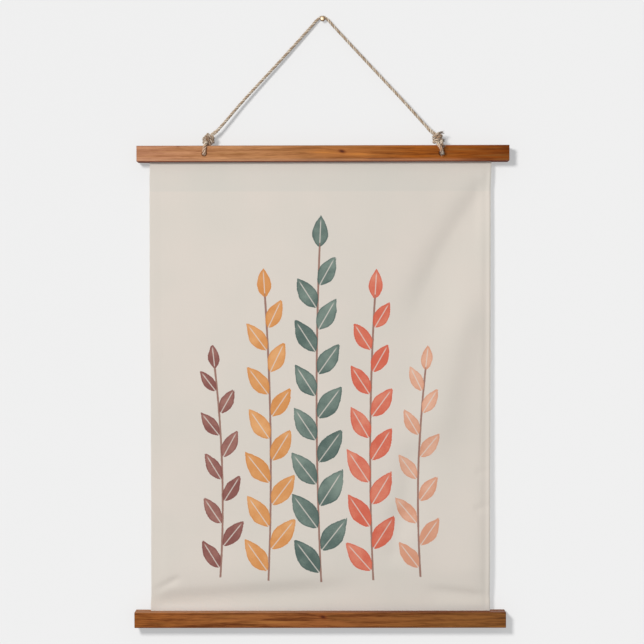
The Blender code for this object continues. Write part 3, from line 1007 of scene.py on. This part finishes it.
bottomWood = {
    "name": "bottomRailPine",
    "light": ((174, 104, 48), (169, 105, 55), (164, 100, 53), (153, 97, 49), (154, 100, 51)),
    "dark": ((111, 58, 23), (102, 51, 20), (98, 48, 19), (99, 53, 21), (100, 59, 28)),
    "moss": (138, 94, 44),
    "flame": (176, 116, 60),
    "pith": (11.0, -26.0),
    "ringWidth": 6.4,
    "wander": 6.0,
    "rings": 0.3,
    "knots": (
        {"x": -0.9, "z": -757.5, "long": 4.6, "high": 3.0, "dark": 0.95, "push": 4.0},
        {"x": -221.0, "z": -761.0, "long": 4.0, "high": 2.6, "dark": 0.3, "push": 4.5},
        {"x": 111.6, "z": -753.7, "long": 2.2, "high": 1.0, "dark": 0.55, "push": 1.2},
    ),
    "flames": ({"x": -60.0, "z": -764.0, "long": 60.0, "high": 2.4},),
    "streaks": (
        {"from": (-200, -771), "to": (4, -757.5), "high": 2.4, "dark": 0.42},
        {"from": (-4, -757), "to": (96, -752.5), "high": 1.7, "dark": 0.45},
    ),
    "holes": (),
    "paintedLowEdge": {"tone": (84, 46, 26), "width": 1.0, "dark": 0.35, "paintedGlint": 0.0, "reach": 1.0},
    # the tail tone is the cloth's painted shadow towards the rail's right end
    "paintedTopEdge": {"tone": (172, 124, 92), "tail": (118, 66, 42), "width": 0.8, "dark": 0.75},
    "seed": 7.0,
}


def makePine(wood, low, high):
    material, graph, shader = startMaterial(wood["name"])
    parts = graph.split(graph.coordinates())
    x, y, z = (parts.out(axis) * 1000 for axis in "XYZ")
    lowZ, highZ, backY = low.z / mm, high.z / mm, high.y / mm
    middleZ = (lowZ + highZ) / 2
    seed = wood["seed"]

    def grain(along, round, detail, roughness=0.5):
        return graph.clouds(graph.joined(x * along, y * round, z * round + seed), 1.0, detail, roughness)

    push = 0.0
    core = 0.0
    for knot in wood["knots"]:
        acrossKnot = (x - knot["x"]) + (z - knot["z"]) * 0.6
        upKnot = z - knot["z"]
        wide = (acrossKnot / (knot["long"] * 3.6)) ** 2 + (upKnot / (knot["high"] * 2.4)) ** 2
        side = graph.ease(upKnot, -knot["high"], knot["high"], -1.0, 1.0)
        push = wide.bell() * side * knot["push"] + push
        tight = (acrossKnot / knot["long"]) ** 2 + (upKnot / knot["high"]) ** 2
        core = tight.bell() * knot["dark"] + core
    flame = 0.0
    for glow in wood["flames"]:
        far = ((x - glow["x"]) / glow["long"]) ** 2 + ((z - glow["z"]) / glow["high"]) ** 2
        flame = far.bell() + flame
    streak = 0.0
    for line in wood["streaks"]:
        run = line["to"][0] - line["from"][0]
        part = (x - line["from"][0]) / run
        off = z - (part * (line["to"][1] - line["from"][1]) + line["from"][1])
        ends = graph.ease(abs(part - 0.5), 0.3, 0.5, 1.0, 0.0)
        streak = ((off / line["high"]) ** 2).bell() * ends * line["dark"] + streak

    outY = y - (backY + wood["pith"][0])
    outZ = z - (middleZ + wood["pith"][1])
    drift = (grain(0.006, 0.03, 2.0) - 0.5) * (2 * wood["wander"])
    ripple = (grain(0.03, 0.12, 2.0) - 0.5) * 1.6
    rings = ((outY ** 2 + outZ ** 2).root() + drift + ripple + push) / wood["ringWidth"]
    late = ((rings * math.tau).sine() * 0.5 + 0.5) ** 2
    broad = grain(0.009, 0.09, 2.0) - 0.5
    fibre = grain(0.026, 0.7, 3.0, 0.6) - 0.5
    hair = grain(0.08, 3.0, 2.0, 0.6) - 0.5
    share = rail["grain"]
    tone = share["start"] - late * wood["rings"] - broad * share["broad"] - fibre * share["fibre"]
    tone = tone - hair * share["hair"] - streak + flame * share["flame"]
    tone = graph.ease(tone, 0.0, share["full"])
    along = graph.add("ShaderNodeMapRange", None, {0: x, 1: low.x / mm, 2: high.x / mm}) + broad * 0.12
    lit = graph.ramp(blendedStops(wood["light"]), along)
    dim = graph.ramp(blendedStops(wood["dark"]), along)
    colour = graph.mixColour(tone, dim, lit)
    green = graph.ease(grain(0.02, 0.35, 2.0), 0.5, 0.72, 0.0, 0.35)
    colour = graph.covered(green, colour, wood["moss"])
    glow = graph.ease(flame * (0.8 - fibre * 2), 0.2, 1.1, 0.0, 0.65)
    colour = graph.covered(glow, colour, wood["flame"])
    colour = graph.covered(graph.ease(core, 0.05, 0.5, 0.0, 0.55), colour, rail["knotTone"])
    colour = graph.covered(graph.ease(core, 0.45, 0.95, 0.0, 0.85), colour, rail["knotCore"])

    # Painted light on the lower edge: a painted highlight just above it where one is given, and painted
    # shade on its lowest strip and the underside
    edge = wood["paintedLowEdge"]
    up = z - lowZ + fibre * 0.6
    paintedGlint = graph.ease(up, edge["width"], edge["width"] + edge["reach"], edge["paintedGlint"], 0.0)
    paintedGlint = paintedGlint * graph.ease(x, *rail["paintedGlintFade"], 1.0, 0.1)
    colour = graph.covered(paintedGlint, colour, rail["paintedGlintTone"])
    rim = graph.ease(up, edge["width"] * 0.6, edge["width"], edge["dark"], 0.0)
    colour = graph.covered(rim, colour, edge["tone"])
    # Painted light on the top edge: painted shade along the upper rail's; on the lower rail's, a painted
    # highlight where its top faces the lamp, turning towards the right end into the cloth's painted shadow
    edge = wood["paintedTopEdge"]
    down = highZ - z + fibre * 0.8
    rim = graph.ease(down, edge["width"] * 0.5, edge["width"] * 1.2, edge["dark"], 0.0)
    paintedEdgeTone = graph.mixColour(
        graph.ease(x, -120.0, 130.0), paintValue(*edge["tone"]), paintValue(*edge["tail"]))
    colour = graph.mixColour(rim, colour, paintedEdgeTone)
    # Painted shade round the mouths of the twine holes
    for hole in wood["holes"]:
        far = ((x - hole) ** 2 + (z - (highZ - rail["holeDrop"] / mm)) ** 2).root()
        holeShadow = graph.ease(far + fibre, 2.6, 4.6, rail["holeShade"], 0.0)
        colour = graph.covered(holeShadow, colour, rail["holeShadeTone"])
    setInputs(shader, {
        "Base Color": colour,
        "Roughness": 0.5 + late * 0.08 + hair * 0.3,
        "Normal": graph.bump(0.3, 0.2 * mm, hair * 0.6 + fibre * 0.4 - late * 0.3),
        "Specular IOR Level": rail["sheen"],
    })
    return material


def makeRails():
    drills = makeDrills()
    topPine = makePine(topWood, *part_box("top_rail_front"))
    bottomPine = makePine(bottomWood, *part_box("bottom_rail_front"))
    for name, node, slot, material, cutter in (
        ("topRailFront", "top_rail_front", "top_rail_pine", topPine, drills),
        ("topRailBack", "top_rail_back", "top_rail_pine", topPine, drills),
        ("bottomRailFront", "bottom_rail_front", "bottom_rail_pine", bottomPine, None),
        ("bottomRailBack", "bottom_rail_back", "bottom_rail_pine", bottomPine, None),
    ):
        batten = makeBatten(name, node, material, 10.0 * len(name), cutter)
        print("rail:", name, len(batten.data.polygons), "faces")
    discard(drills)


# Cloth. Drops are from the upper rail's lower edge. All sizes are in millimetres.


cloth = {
    "thickness": 0.7,
    "seat": 0.8,  # from the back batten to the middle of the cloth
    "endMargin": 2.0,
    "endRows": 6,
    "cell": 2.8,
    "edgeColumns": (0.0, 0.5, 1.1, 2.0, 3.2, 4.8, 7.0, 9.5),
    "sections": (
        {"drop": 0, "left": -219.6, "right": 213.5},
        {"drop": 35, "left": -219.8, "right": 212.6},
        {"drop": 175, "left": -220.0, "right": 212.3},
        {"drop": 300, "left": -219.1, "right": 211.9},
        {"drop": 430, "left": -219.0, "right": 211.1},
        {"drop": 545, "left": -219.0, "right": 210.9},
        {"drop": 564, "left": -219.9, "right": 211.4},
    ),
    # A fold's spread is given for its two sides: the one to its right and below, and the other.
    "folds": (
        {"from": (217, -203), "to": (110, -410), "bow": -12.5, "rise": -5.0, "spread": (36, 18),
         "growth": (0.85, 1.25), "fade": (0.07, 0.4)},
        {"from": (192, -330), "to": (136, -566), "bow": -4, "rise": 4.3, "spread": (24, 30),
         "growth": (0.8, 1.2), "fade": (0.28, 0.28)},
        {"from": (-52, -240), "to": (-30, -620), "bow": 0, "rise": 1.8, "spread": (95, 95)},
        {"from": (116, -530), "to": (100, -670), "bow": 0, "rise": -2.4, "spread": (22, 15)},
        {"from": (94, -610), "to": (88, -700), "bow": 0, "rise": -1.6, "spread": (16, 12)},
        {"from": (-400, -690), "to": (400, -690), "bow": 0, "rise": 2.0, "spread": (32, 130)},
        {"from": (-300, -745.5), "to": (60, -720.5), "bow": 0, "rise": -1.7, "spread": (14, 12)},
        {"from": (-300, -727), "to": (60, -702), "bow": 0, "rise": 2.6, "spread": (15, 46)},
        {"from": (-222, -729), "to": (-178, -706), "bow": 0, "rise": -1.7, "spread": (5, 3.5)},
        {"from": (120, -724), "to": (236, -736), "bow": 0, "rise": -1.7, "spread": (12, 6)},
        {"from": (220, -572), "to": (190, -577), "bow": 0, "rise": -1.0, "spread": (5, 5)},
        {"from": (220, -614), "to": (188, -625), "bow": 0, "rise": -1.2, "spread": (5, 5)},
    ),
    "foldFade": (0.28, 0.28),  # the parts of a fold's length over which it grows and dies away
    "foldAtEdge": 0.35,
    "edgeReach": 22.0,
    # how far the right edge swings out at some drops, and over what width
    "edgeLift": {
        "drops": (0, 200, 300, 440, 520, 564), "lift": (1.2, 1.0, 1.2, 3.4, 3.6, 1.2), "reach": 75.0},
    "topFade": 22.0,
    "bottomFade": 9.0,
    # At each side edge, outwards: a dip, then a curl towards the viewer, and a lip rolled back.
    "hem": {
        "right": {"dip": 0.9, "dipFrom": 12.5, "dipTo": 5.0, "curl": 1.5, "curlWidth": 6.4, "lip": 1.2},
        "left": {"dip": -0.5, "dipFrom": 15.0, "dipTo": 5.0, "curl": 0.5, "curlWidth": 4.5, "lip": 0.5},
    },
    "lipWidth": 1.2,
    "unevenness": 0.22,
    "holeRoom": 0.1,  # how much wider the cloth's holes are than the rail's
    "flat": (0.432, 0.606),
    "smoothBelow": math.radians(50),
}


def eased(value):
    value = np.clip(value, 0, 1)
    return value * value * (3 - 2 * value)


def clothEdges(drop):
    above = cloth["sections"][0]
    for below in cloth["sections"][1:]:
        if drop <= below["drop"]:
            break
        above = below
    mix = float(eased((drop - above["drop"]) / max(below["drop"] - above["drop"], 1)))
    return tuple(above[side] + mix * (below[side] - above[side]) for side in ("left", "right"))


def foldShape(fold, x, z):
    # 1 along a fold's line and less on both sides of it and towards its ends
    start = np.array(fold["from"], float)
    run = np.array(fold["to"], float) - start
    length = np.hypot(*run)
    along = ((x - start[0]) * run[0] + (z - start[1]) * run[1]) / length ** 2
    within = np.clip(along, 0, 1)
    off = ((z - start[1]) * run[0] - (x - start[0]) * run[1]) / length
    off -= fold["bow"] * 4 * within * (1 - within)
    below = off < 0 if run[0] > abs(run[1]) else off > 0
    growth = np.interp(within, (0, 1), fold.get("growth", (1, 1)))
    spread = np.where(below, *fold["spread"]) * growth
    fadeIn, fadeOut = fold.get("fade", cloth["foldFade"])
    return growth * np.exp(-(off / spread) ** 2) * eased(along / fadeIn) * eased((1 - along) / fadeOut)


def hemShape(hem, inward):
    curl = hem["curl"] * np.clip(1 - inward / hem["curlWidth"], 0, None) ** 2
    dip = hem["dip"] * eased((hem["dipFrom"] - inward) / (hem["dipFrom"] - hem["dipTo"]))
    return curl - dip - hem["lip"] * np.exp(-(inward / cloth["lipWidth"]) ** 2)


def clothRise(x, z, drop, left, right, visible):
    # How far the cloth stands towards the viewer from the plane that the rails hold it in
    rise = np.zeros_like(x)
    for fold in cloth["folds"]:
        rise += fold["rise"] * foldShape(fold, x, z)
    nearest = np.minimum(x - left, right - x)
    rise *= cloth["foldAtEdge"] + (1 - cloth["foldAtEdge"]) * eased(nearest / cloth["edgeReach"])
    lift = cloth["edgeLift"]
    rise += np.interp(drop, lift["drops"], lift["lift"]) * eased(1 - (right - x) / lift["reach"])
    rise += hemShape(cloth["hem"]["right"], right - x) + hemShape(cloth["hem"]["left"], x - left)
    spots = [noise.noise(Vector((a / 46, b / 70, 3.0))) for a, b in zip(x.flat, z.flat)]
    rise += cloth["unevenness"] * np.array(spots).reshape(x.shape)
    return rise * eased(drop / cloth["topFade"]) * eased((visible - drop) / cloth["bottomFade"])


def clothGrid():
    # Positions of the cloth's points in millimetres, a row for each drop, and the drops
    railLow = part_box("top_rail_front")[0].z / mm
    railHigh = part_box("top_rail_front")[1].z / mm
    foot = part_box("bottom_rail_front")
    visible = railLow - foot[1].z / mm
    clamped = railHigh - railLow - cloth["endMargin"]
    count = round(visible / cloth["cell"])
    endParts = [i / cloth["endRows"] for i in range(cloth["endRows"])]
    drops = [-clamped + clamped * part for part in endParts]
    drops += [visible * i / count for i in range(count + 1)]
    drops += [visible + clamped * (part + 1 / cloth["endRows"]) for part in endParts]
    edge = list(cloth["edgeColumns"])
    across = round(cloth["flat"][0] / mm / cloth["cell"])
    columns = []
    for drop in drops:
        left, right = clothEdges(drop)
        inner = np.linspace(left + edge[-1], right - edge[-1], across)
        outer = [left + step for step in edge[:-1]], [right - step for step in edge[-2::-1]]
        columns.append(outer[0] + list(inner) + outer[1])
    x = np.array(columns)
    drop = np.repeat(np.array(drops)[:, None], x.shape[1], axis=1)
    return x, railLow - drop, drop, visible


def clothMesh():
    x, z, drop, visible = clothGrid()
    left = x[:, :1]
    right = x[:, -1:]
    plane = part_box("top_rail_back")[0].y / mm - cloth["seat"]
    y = plane - clothRise(x, z, drop, left, right, visible)
    rows, wide = x.shape
    holes = makeClothHoles(x, z)
    half = cloth["thickness"] / 2
    front = np.stack([x, y - half, z], axis=-1).reshape(-1, 3)
    back = np.stack([x, y + half, z], axis=-1).reshape(-1, 3)
    points = np.concatenate([front, back]) * mm
    other = rows * wide
    faces = []
    for r in range(rows - 1):
        for c in range(wide - 1):
            if (r, c) in holes["cells"]:
                continue
            a = r * wide + c
            b = a + wide
            faces.append((a, b, b + 1, a + 1))
            faces.append((other + a, other + a + 1, other + b + 1, other + b))
    rim = list(range(wide)) + [r * wide + wide - 1 for r in range(1, rows)]
    rim += [(rows - 1) * wide + c for c in range(wide - 2, -1, -1)]
    rim += [r * wide for r in range(rows - 2, 0, -1)]
    for before, after in zip(rim, rim[1:] + rim[:1]):
        faces.append((before, after, other + after, other + before))
    for ring in holes["rings"]:
        for before, after in zip(ring, ring[1:] + ring[:1]):
            faces.append((after, before, other + before, other + after))
    used = np.zeros(len(points), bool)
    used[np.array([index for face in faces for index in face])] = True
    renumber = np.cumsum(used) - 1
    mesh = bpy.data.meshes.new("printedCloth")
    mesh.from_pydata(points[used].tolist(), [], [[int(renumber[i]) for i in face] for face in faces])
    flatU = np.tile(((x - left) / (right - left)).ravel(), 2)[used]
    flatV = np.tile(((z - z.min()) / (z.max() - z.min())).ravel(), 2)[used]
    printValues(mesh, np.tile(x.ravel(), 2)[used], np.tile(z.ravel(), 2)[used])
    facing = np.concatenate([np.ones(other), np.zeros(other)])[used]
    mesh.attributes.new("printSide", "FLOAT", "POINT").data.foreach_set("value", facing)
    corners = np.empty(len(mesh.loops), int)
    mesh.loops.foreach_get("vertex_index", corners)
    threads = mesh.uv_layers.new(name="threads")
    threads.data.foreach_set("uv", np.stack([flatU[corners], flatV[corners]], axis=-1).ravel())
    return mesh


def makeClothHoles(x, z):
    # Moves eight points of the grid onto each hole's circle, and leaves out the four cells inside it
    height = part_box("top_rail_front")[1].z / mm - rail["holeDrop"] / mm
    radius = rail["holeRadius"] / mm + cloth["holeRoom"]
    around = [(-1, -1), (-1, 0), (-1, 1), (0, 1), (1, 1), (1, 0), (1, -1), (0, -1)]
    holes = {"cells": set(), "rings": []}
    for middle in (-rail["holeSpread"] / mm, rail["holeSpread"] / mm):
        r = int(np.argmin(abs(z[:, 0] - height)))
        c = int(np.argmin(abs(x[r] - middle)))
        ring = []
        for down, right in around:
            angle = math.atan2(-down, right)
            x[r + down, c + right] = middle + radius * math.cos(angle)
            z[r + down, c + right] = height + radius * math.sin(angle)
            ring.append((r + down) * x.shape[1] + c + right)
        holes["cells"] |= {(r - 1, c - 1), (r - 1, c), (r, c - 1), (r, c)}
        holes["rings"].append(ring)
    return holes


# The print: upright sprigs of plain leaves. Sizes are in millimetres, Z from the nail as everywhere.
sprigs = (
    {"ink": "mauve", "foot": (-131, -709), "head": (-138, -440), "bow": -6, "leaf": (44, 20)},
    {"ink": "ochre", "foot": (-70, -713), "head": (-74, -348), "bow": -5, "leaf": (52, 25)},
    {"ink": "teal", "foot": (-3, -715), "head": (-4, -284), "bow": 5, "leaf": (56, 28)},
    {"ink": "coral", "foot": (63, -713), "head": (66, -350), "bow": 5, "leaf": (52, 25)},
    {"ink": "peach", "foot": (123, -709), "head": (130, -442), "bow": 6, "leaf": (44, 20)},
)
inks = {
    "teal": {"deep": (78, 100, 94), "thin": (128, 146, 136)},
    "ochre": {"deep": (214, 142, 76), "thin": (232, 172, 114)},
    "mauve": {"deep": (134, 80, 74), "thin": (172, 122, 110)},
    "coral": {"deep": (214, 100, 76), "thin": (228, 142, 116)},
    "peach": {"deep": (216, 152, 122), "thin": (232, 184, 158)},
}
printing = {
    "leafAngle": math.radians(38),
    "topAngle": math.radians(29),
    "pairSpacing": 56,
    "firstRight": 38,
    "firstLeft": 10,
    "bareTop": 30,
    "topSize": 0.74,  # the top leaves' size beside the lowest ones'
    "stemWidth": 2.8,
    "veinWidth": 1.0,
    "stemTone": (150, 106, 92),
    "clothTone": (225, 216, 206),
    "clothDim": (221, 214, 204),
    "topShadeDepth": 37.0,  # painted shade: the cloth is a little duller from the upper rail down to here
    "topShadeTint": (0.955, 0.975, 0.98),
    "woodReach": 12.0,  # how far the lower rail's shade shows on the cloth above it
    "woodTint": (0.965, 0.995, 1.03),
    "edgeShadeTint": (0.84, 0.85, 0.86),  # painted shade where the right edge turns back
    "threadTint": (0.955, 0.955, 0.955),
    "threadPitch": 0.62,
    "leafTone": 0.9,  # how much of the ink lies on the front, and how much shows on the back
    "showThrough": 0.07,
    "leafShape": 0.82,  # under 1, a leaf is widest below its middle
    "lastLeaf": 0.985,  # where on the stem the leaf at its head grows
    "farOff": 40.0,  # stands for a point that no leaf is near
    "seed": 4,
}


def leafField(x, z, root, way, length, width):
    # How deep each point lies inside a leaf, its place along it and to its side
    along = ((x - root[0]) * way[0] + (z - root[1]) * way[1]) / length
    side = (x - root[0]) * -way[1] + (z - root[1]) * way[0]
    part = np.clip(along, 0.0001, 0.9999)
    shape = printing["leafShape"]
    half = width / 2 * np.sin(math.pi * part ** shape)
    steepness = math.pi * shape * part ** (shape - 1) * np.cos(math.pi * part ** shape)
    slope = width / 2 * steepness / length
    inside = (half - abs(side)) / np.sqrt(1 + slope ** 2)
    past = (along - np.clip(along, 0, 1)) * length
    return np.where(past == 0, inside, -np.hypot(past, side)), along, side


def stemPoint(sprig, part):
    foot = np.array(sprig["foot"], float)
    run = np.array(sprig["head"], float) - foot
    across = np.array((-run[1], run[0])) / np.hypot(*run)
    return foot + run * part + across * sprig["bow"] * 4 * part * (1 - part)


def sprigLeaves(sprig, height, chance):
    # (root, direction, length, width) of each leaf, the one at the head last
    leaves = []
    for hand, first in ((1, printing["firstLeft"]), (-1, printing["firstRight"])):
        way = first
        while way < height - printing["bareTop"]:
            part = way / height
            ahead = stemPoint(sprig, part + 0.01) - stemPoint(sprig, part - 0.01)
            lean = printing["leafAngle"] + (printing["topAngle"] - printing["leafAngle"]) * part
            turn = math.atan2(ahead[1], ahead[0]) + hand * (lean + chance.uniform(-0.07, 0.07))
            size = (1 + (printing["topSize"] - 1) * part ** 1.5) * chance.uniform(0.95, 1.04)
            towards = np.array((math.cos(turn), math.sin(turn)))
            root = stemPoint(sprig, part) + towards * printing["stemWidth"]
            leaves.append((root, towards, sprig["leaf"][0] * size, sprig["leaf"][1] * size))
            way += printing["pairSpacing"]
    ahead = stemPoint(sprig, 1.0) - stemPoint(sprig, 0.98)
    root = stemPoint(sprig, printing["lastLeaf"])
    length, width = (measure * printing["topSize"] for measure in sprig["leaf"])
    leaves.append((root, ahead / np.hypot(*ahead), length, width))
    return leaves


def printValues(mesh, x, z):
    # Stores how deep a point lies in the nearest leaf of each ink, and its offset from stem and vein
    chance = random.Random(printing["seed"])
    farOff = printing["farOff"]
    depth = {ink: np.full(x.shape, -farOff) for ink in inks}
    best = np.full(x.shape, -farOff)
    vein = np.full(x.shape, farOff)
    shade = np.full(x.shape, 0.5)
    reach = np.zeros(x.shape)
    stem = np.full(x.shape, 10 * farOff)
    within = np.zeros(x.shape)
    for order, sprig in enumerate(sprigs):
        footX, footZ = sprig["foot"]
        run = np.array(sprig["head"], float) - np.array(sprig["foot"], float)
        height = np.hypot(*run)
        part = ((x - footX) * run[0] + (z - footZ) * run[1]) / height ** 2
        offset = ((x - footX) * -run[1] + (z - footZ) * run[0]) / height
        offset = offset - sprig["bow"] * 4 * part * (1 - part)
        # neighbours measure from opposite sides, so that no stem appears halfway between two
        offset = offset * (1 if order % 2 else -1)
        closer = abs(offset) < abs(stem)
        stem = np.where(closer, offset, stem)
        within = np.where(closer, np.minimum(part, 1 - part) * height, within)
        for root, towards, length, width in sprigLeaves(sprig, height, chance):
            field, along, side = leafField(x, z, root, towards, length, width)
            depth[sprig["ink"]] = np.maximum(depth[sprig["ink"]], field)
            nearer = field > best
            best = np.where(nearer, field, best)
            vein = np.where(nearer, side, vein)
            reach = np.where(nearer, along, reach)
            shade = np.where(nearer, chance.random(), shade)
    layers = {ink + "Depth": field for ink, field in depth.items()}
    layers.update(veinSide=vein, leafShade=shade, leafReach=reach, stemSide=stem, stemWithin=within)
    for name, values in layers.items():
        mesh.attributes.new(name, "FLOAT", "POINT").data.foreach_set("value", values)


def makePrintedCotton():
    material, graph, shader = startMaterial("printedCotton")
    place = graph.coordinates()
    flat = graph.split(graph.coordinates("UV"))
    pitch = printing["threadPitch"] * mm
    across = flat.out("X") * (cloth["flat"][0] / pitch)
    down = flat.out("Y") * (cloth["flat"][1] / pitch)
    over = (across.floor() + down.floor()) % 2
    warp = (across * math.pi).sine()
    weft = (down * math.pi).sine()
    weave = abs(warp) * (0.45 + over * 0.55) + abs(weft) * (1 - over * 0.55)
    slubs = graph.clouds(graph.joined(across * 0.9, down * 0.02, 0.0), 1.0, 2.0) - 0.5
    slubs = slubs + graph.clouds(graph.joined(across * 0.02, down * 0.9, 4.0), 1.0, 2.0) - 0.5
    broad = graph.clouds(place, 9.0, 2.0)
    ground = graph.mixColour(
        graph.ease(broad, 0.3, 0.7), paintValue(*printing["clothDim"]), paintValue(*printing["clothTone"]))
    height = graph.split(place).out("Z") * 1000
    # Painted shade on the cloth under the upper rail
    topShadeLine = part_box("top_rail_front")[0].z / mm - printing["topShadeDepth"]
    underRailShade = graph.ease(height, topShadeLine - 1.5, topShadeLine + 1.5)
    ground = graph.tinted(underRailShade, ground, printing["topShadeTint"])
    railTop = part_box("bottom_rail_front")[1].z / mm
    nearWood = graph.ease(height, railTop, railTop + printing["woodReach"], 1.0, 0.0)
    ground = graph.tinted(nearWood, ground, printing["woodTint"])
    fromRight = (1 - flat.out("X")) * (cloth["flat"][0] / mm)
    turnedEdgeShade = graph.ease(fromRight, 0.6, 2.0, 0.9, 0.0)
    ground = graph.tinted(turnedEdgeShade, ground, printing["edgeShadeTint"])
    shaded = graph.tinted(1.0, ground, printing["threadTint"])
    ground = graph.mixColour(0.5 + slubs * 0.5, shaded, ground)
    wash = graph.clouds(place, 55.0, 2.0)
    grain = graph.clouds(place, 950.0, 3.0, 0.6)
    edge = (graph.clouds(place, 95.0, 2.0) - 0.5) * 2.6 + (grain - 0.5) * 1.3
    side = graph.attribute("printSide")
    stem = graph.ease(printing["stemWidth"] / 2 + edge * 0.25 - abs(graph.attribute("stemSide")), -0.1, 0.35)
    stem = stem * graph.ease(graph.attribute("stemWithin") + edge, -0.3, 1.0)
    colour = graph.covered(stem * side * printing["leafTone"], ground, printing["stemTone"])
    shade = graph.attribute("leafShade")
    reach = graph.attribute("leafReach")
    vein = graph.ease(abs(graph.attribute("veinSide")), printing["veinWidth"] * 0.3, printing["veinWidth"])
    vein = 1 - (1 - vein) * graph.ease(reach, 0.75, 0.9, 0.75, 0.0)
    for ink, tones in inks.items():
        inside = graph.attribute(ink + "Depth") + edge
        cover = graph.ease(inside, -0.1, 0.35) * vein
        pool = graph.ease(inside, 0.0, 2.6, 0.34, 0.0)
        strength = (wash - 0.5) * 1.3 + (grain - 0.5) * 0.7 + shade * 0.35 - reach * 0.25 + pool + 0.52
        tone = graph.mixColour(
            graph.ease(strength, 0.0, 1.0), paintValue(*tones["thin"]), paintValue(*tones["deep"]))
        shown = cover * (side * printing["leafTone"] + printing["showThrough"])
        colour = graph.mixColour(shown, colour, tone)
    setInputs(shader, {
        "Base Color": colour,
        "Normal": graph.bump(0.35, 0.12 * mm, weave + slubs * 0.5),
        "Roughness": 0.92,
        "Specular IOR Level": 0.2,
        "Sheen Weight": 0.12,
    })
    return material


def makeCloth():
    mesh = clothMesh()
    mesh.materials.append(makePrintedCotton())
    mesh.shade_smooth()
    mesh.set_sharp_from_angle(angle=cloth["smoothBelow"])
    piece = addObject("printedCloth", mesh)
    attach(piece, "root")
    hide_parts("cloth_panel")
    print("cloth:", len(mesh.polygons), "faces")


# Nail


nail = {
    "headRadius": 3.2,
    "headRise": 1.75,
    "rim": -7.55,
    "under": -7.2,
    "shankRadius": 0.9,
    "tipStart": 15.5,
    "tip": 18.5,
    "sides": 48,
    "domeSteps": 9,
    "crown": (-0.5, -9.3, 0.5),
    "rimFrom": 2.2,
    "rimTo": 3.5,
    "edgeRound": 0.1,
    "collar": 0.15,
    "collarLength": 0.2,
    "brightTone": (255, 238, 208),
    "dullTone": (240, 210, 168),
    "rimTarnishAndShade": (150, 104, 56),
    "smoothBelow": math.radians(40),
}


def makeBrass():
    material, graph, shader = startMaterial("wornBrass")
    place = graph.coordinates()
    tarnish = graph.clouds(place, 420.0, 3.0, 0.6)
    scratches = graph.clouds(graph.vector("MULTIPLY", place, (1500.0, 400.0, 6000.0)), 1.0, 2.0)
    dull = graph.ease(tarnish, 0.42, 0.68)
    colour = graph.covered(dull, paintValue(*nail["brightTone"]), nail["dullTone"])
    # a painted highlight: the crown, set off towards the lamp, stays bright; the rim is browner, with
    # tarnish and painted shade that grow away from the lamp
    fromHighlight = graph.vector("DISTANCE", graph.scaled(place, 1000.0), nail["crown"]).out("Value")
    rim = graph.ease(fromHighlight + (tarnish - 0.5) * 1.5, nail["rimFrom"], nail["rimTo"])
    setInputs(shader, {
        "Base Color": graph.covered(rim, colour, nail["rimTarnishAndShade"]),
        "Roughness": 0.5 + tarnish * 0.15 + scratches * 0.05,
        "Normal": graph.bump(0.3, 0.12 * mm, tarnish + scratches * 0.3),
        "Metallic": 1.0,
    })
    return material


def makeNail():
    stations = []
    for i in range(nail["domeSteps"] + 1):
        angle = math.pi / 2 * i / nail["domeSteps"]
        radius = nail["headRadius"] * math.sin(angle)
        stations.append((nail["rim"] - nail["headRise"] * math.cos(angle), radius))
    stations += [
        ((nail["rim"] + nail["under"]) / 2, nail["headRadius"]),
        (nail["under"], nail["headRadius"] - nail["edgeRound"]),
        (nail["under"], nail["shankRadius"] + nail["collar"]),
        (nail["under"] + nail["collarLength"], nail["shankRadius"]),
        (nail["tipStart"], nail["shankRadius"]),
        (nail["tip"], 0.0),
    ]
    mesh = turnedMesh("wallNail", [(y * mm, radius * mm) for y, radius in stations], nail["sides"])
    mesh.materials.append(makeBrass())
    mesh.shade_smooth()
    mesh.set_sharp_from_angle(angle=nail["smoothBelow"])
    piece = addObject("brassNail", mesh)
    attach(piece, "root")
    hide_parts("wall_nail")
    print("nail:", len(mesh.polygons), "faces")


makeCamera()
makeKeyLight("windowLight", light["keyLevel"])
makeBackLight()
makeSky()
wallOnly = makeWall()
print("camera, lamps and wall: in place")
makeTwine()
makeRails()
makeCloth()
makeNail()
makeCottonLight(wallOnly)
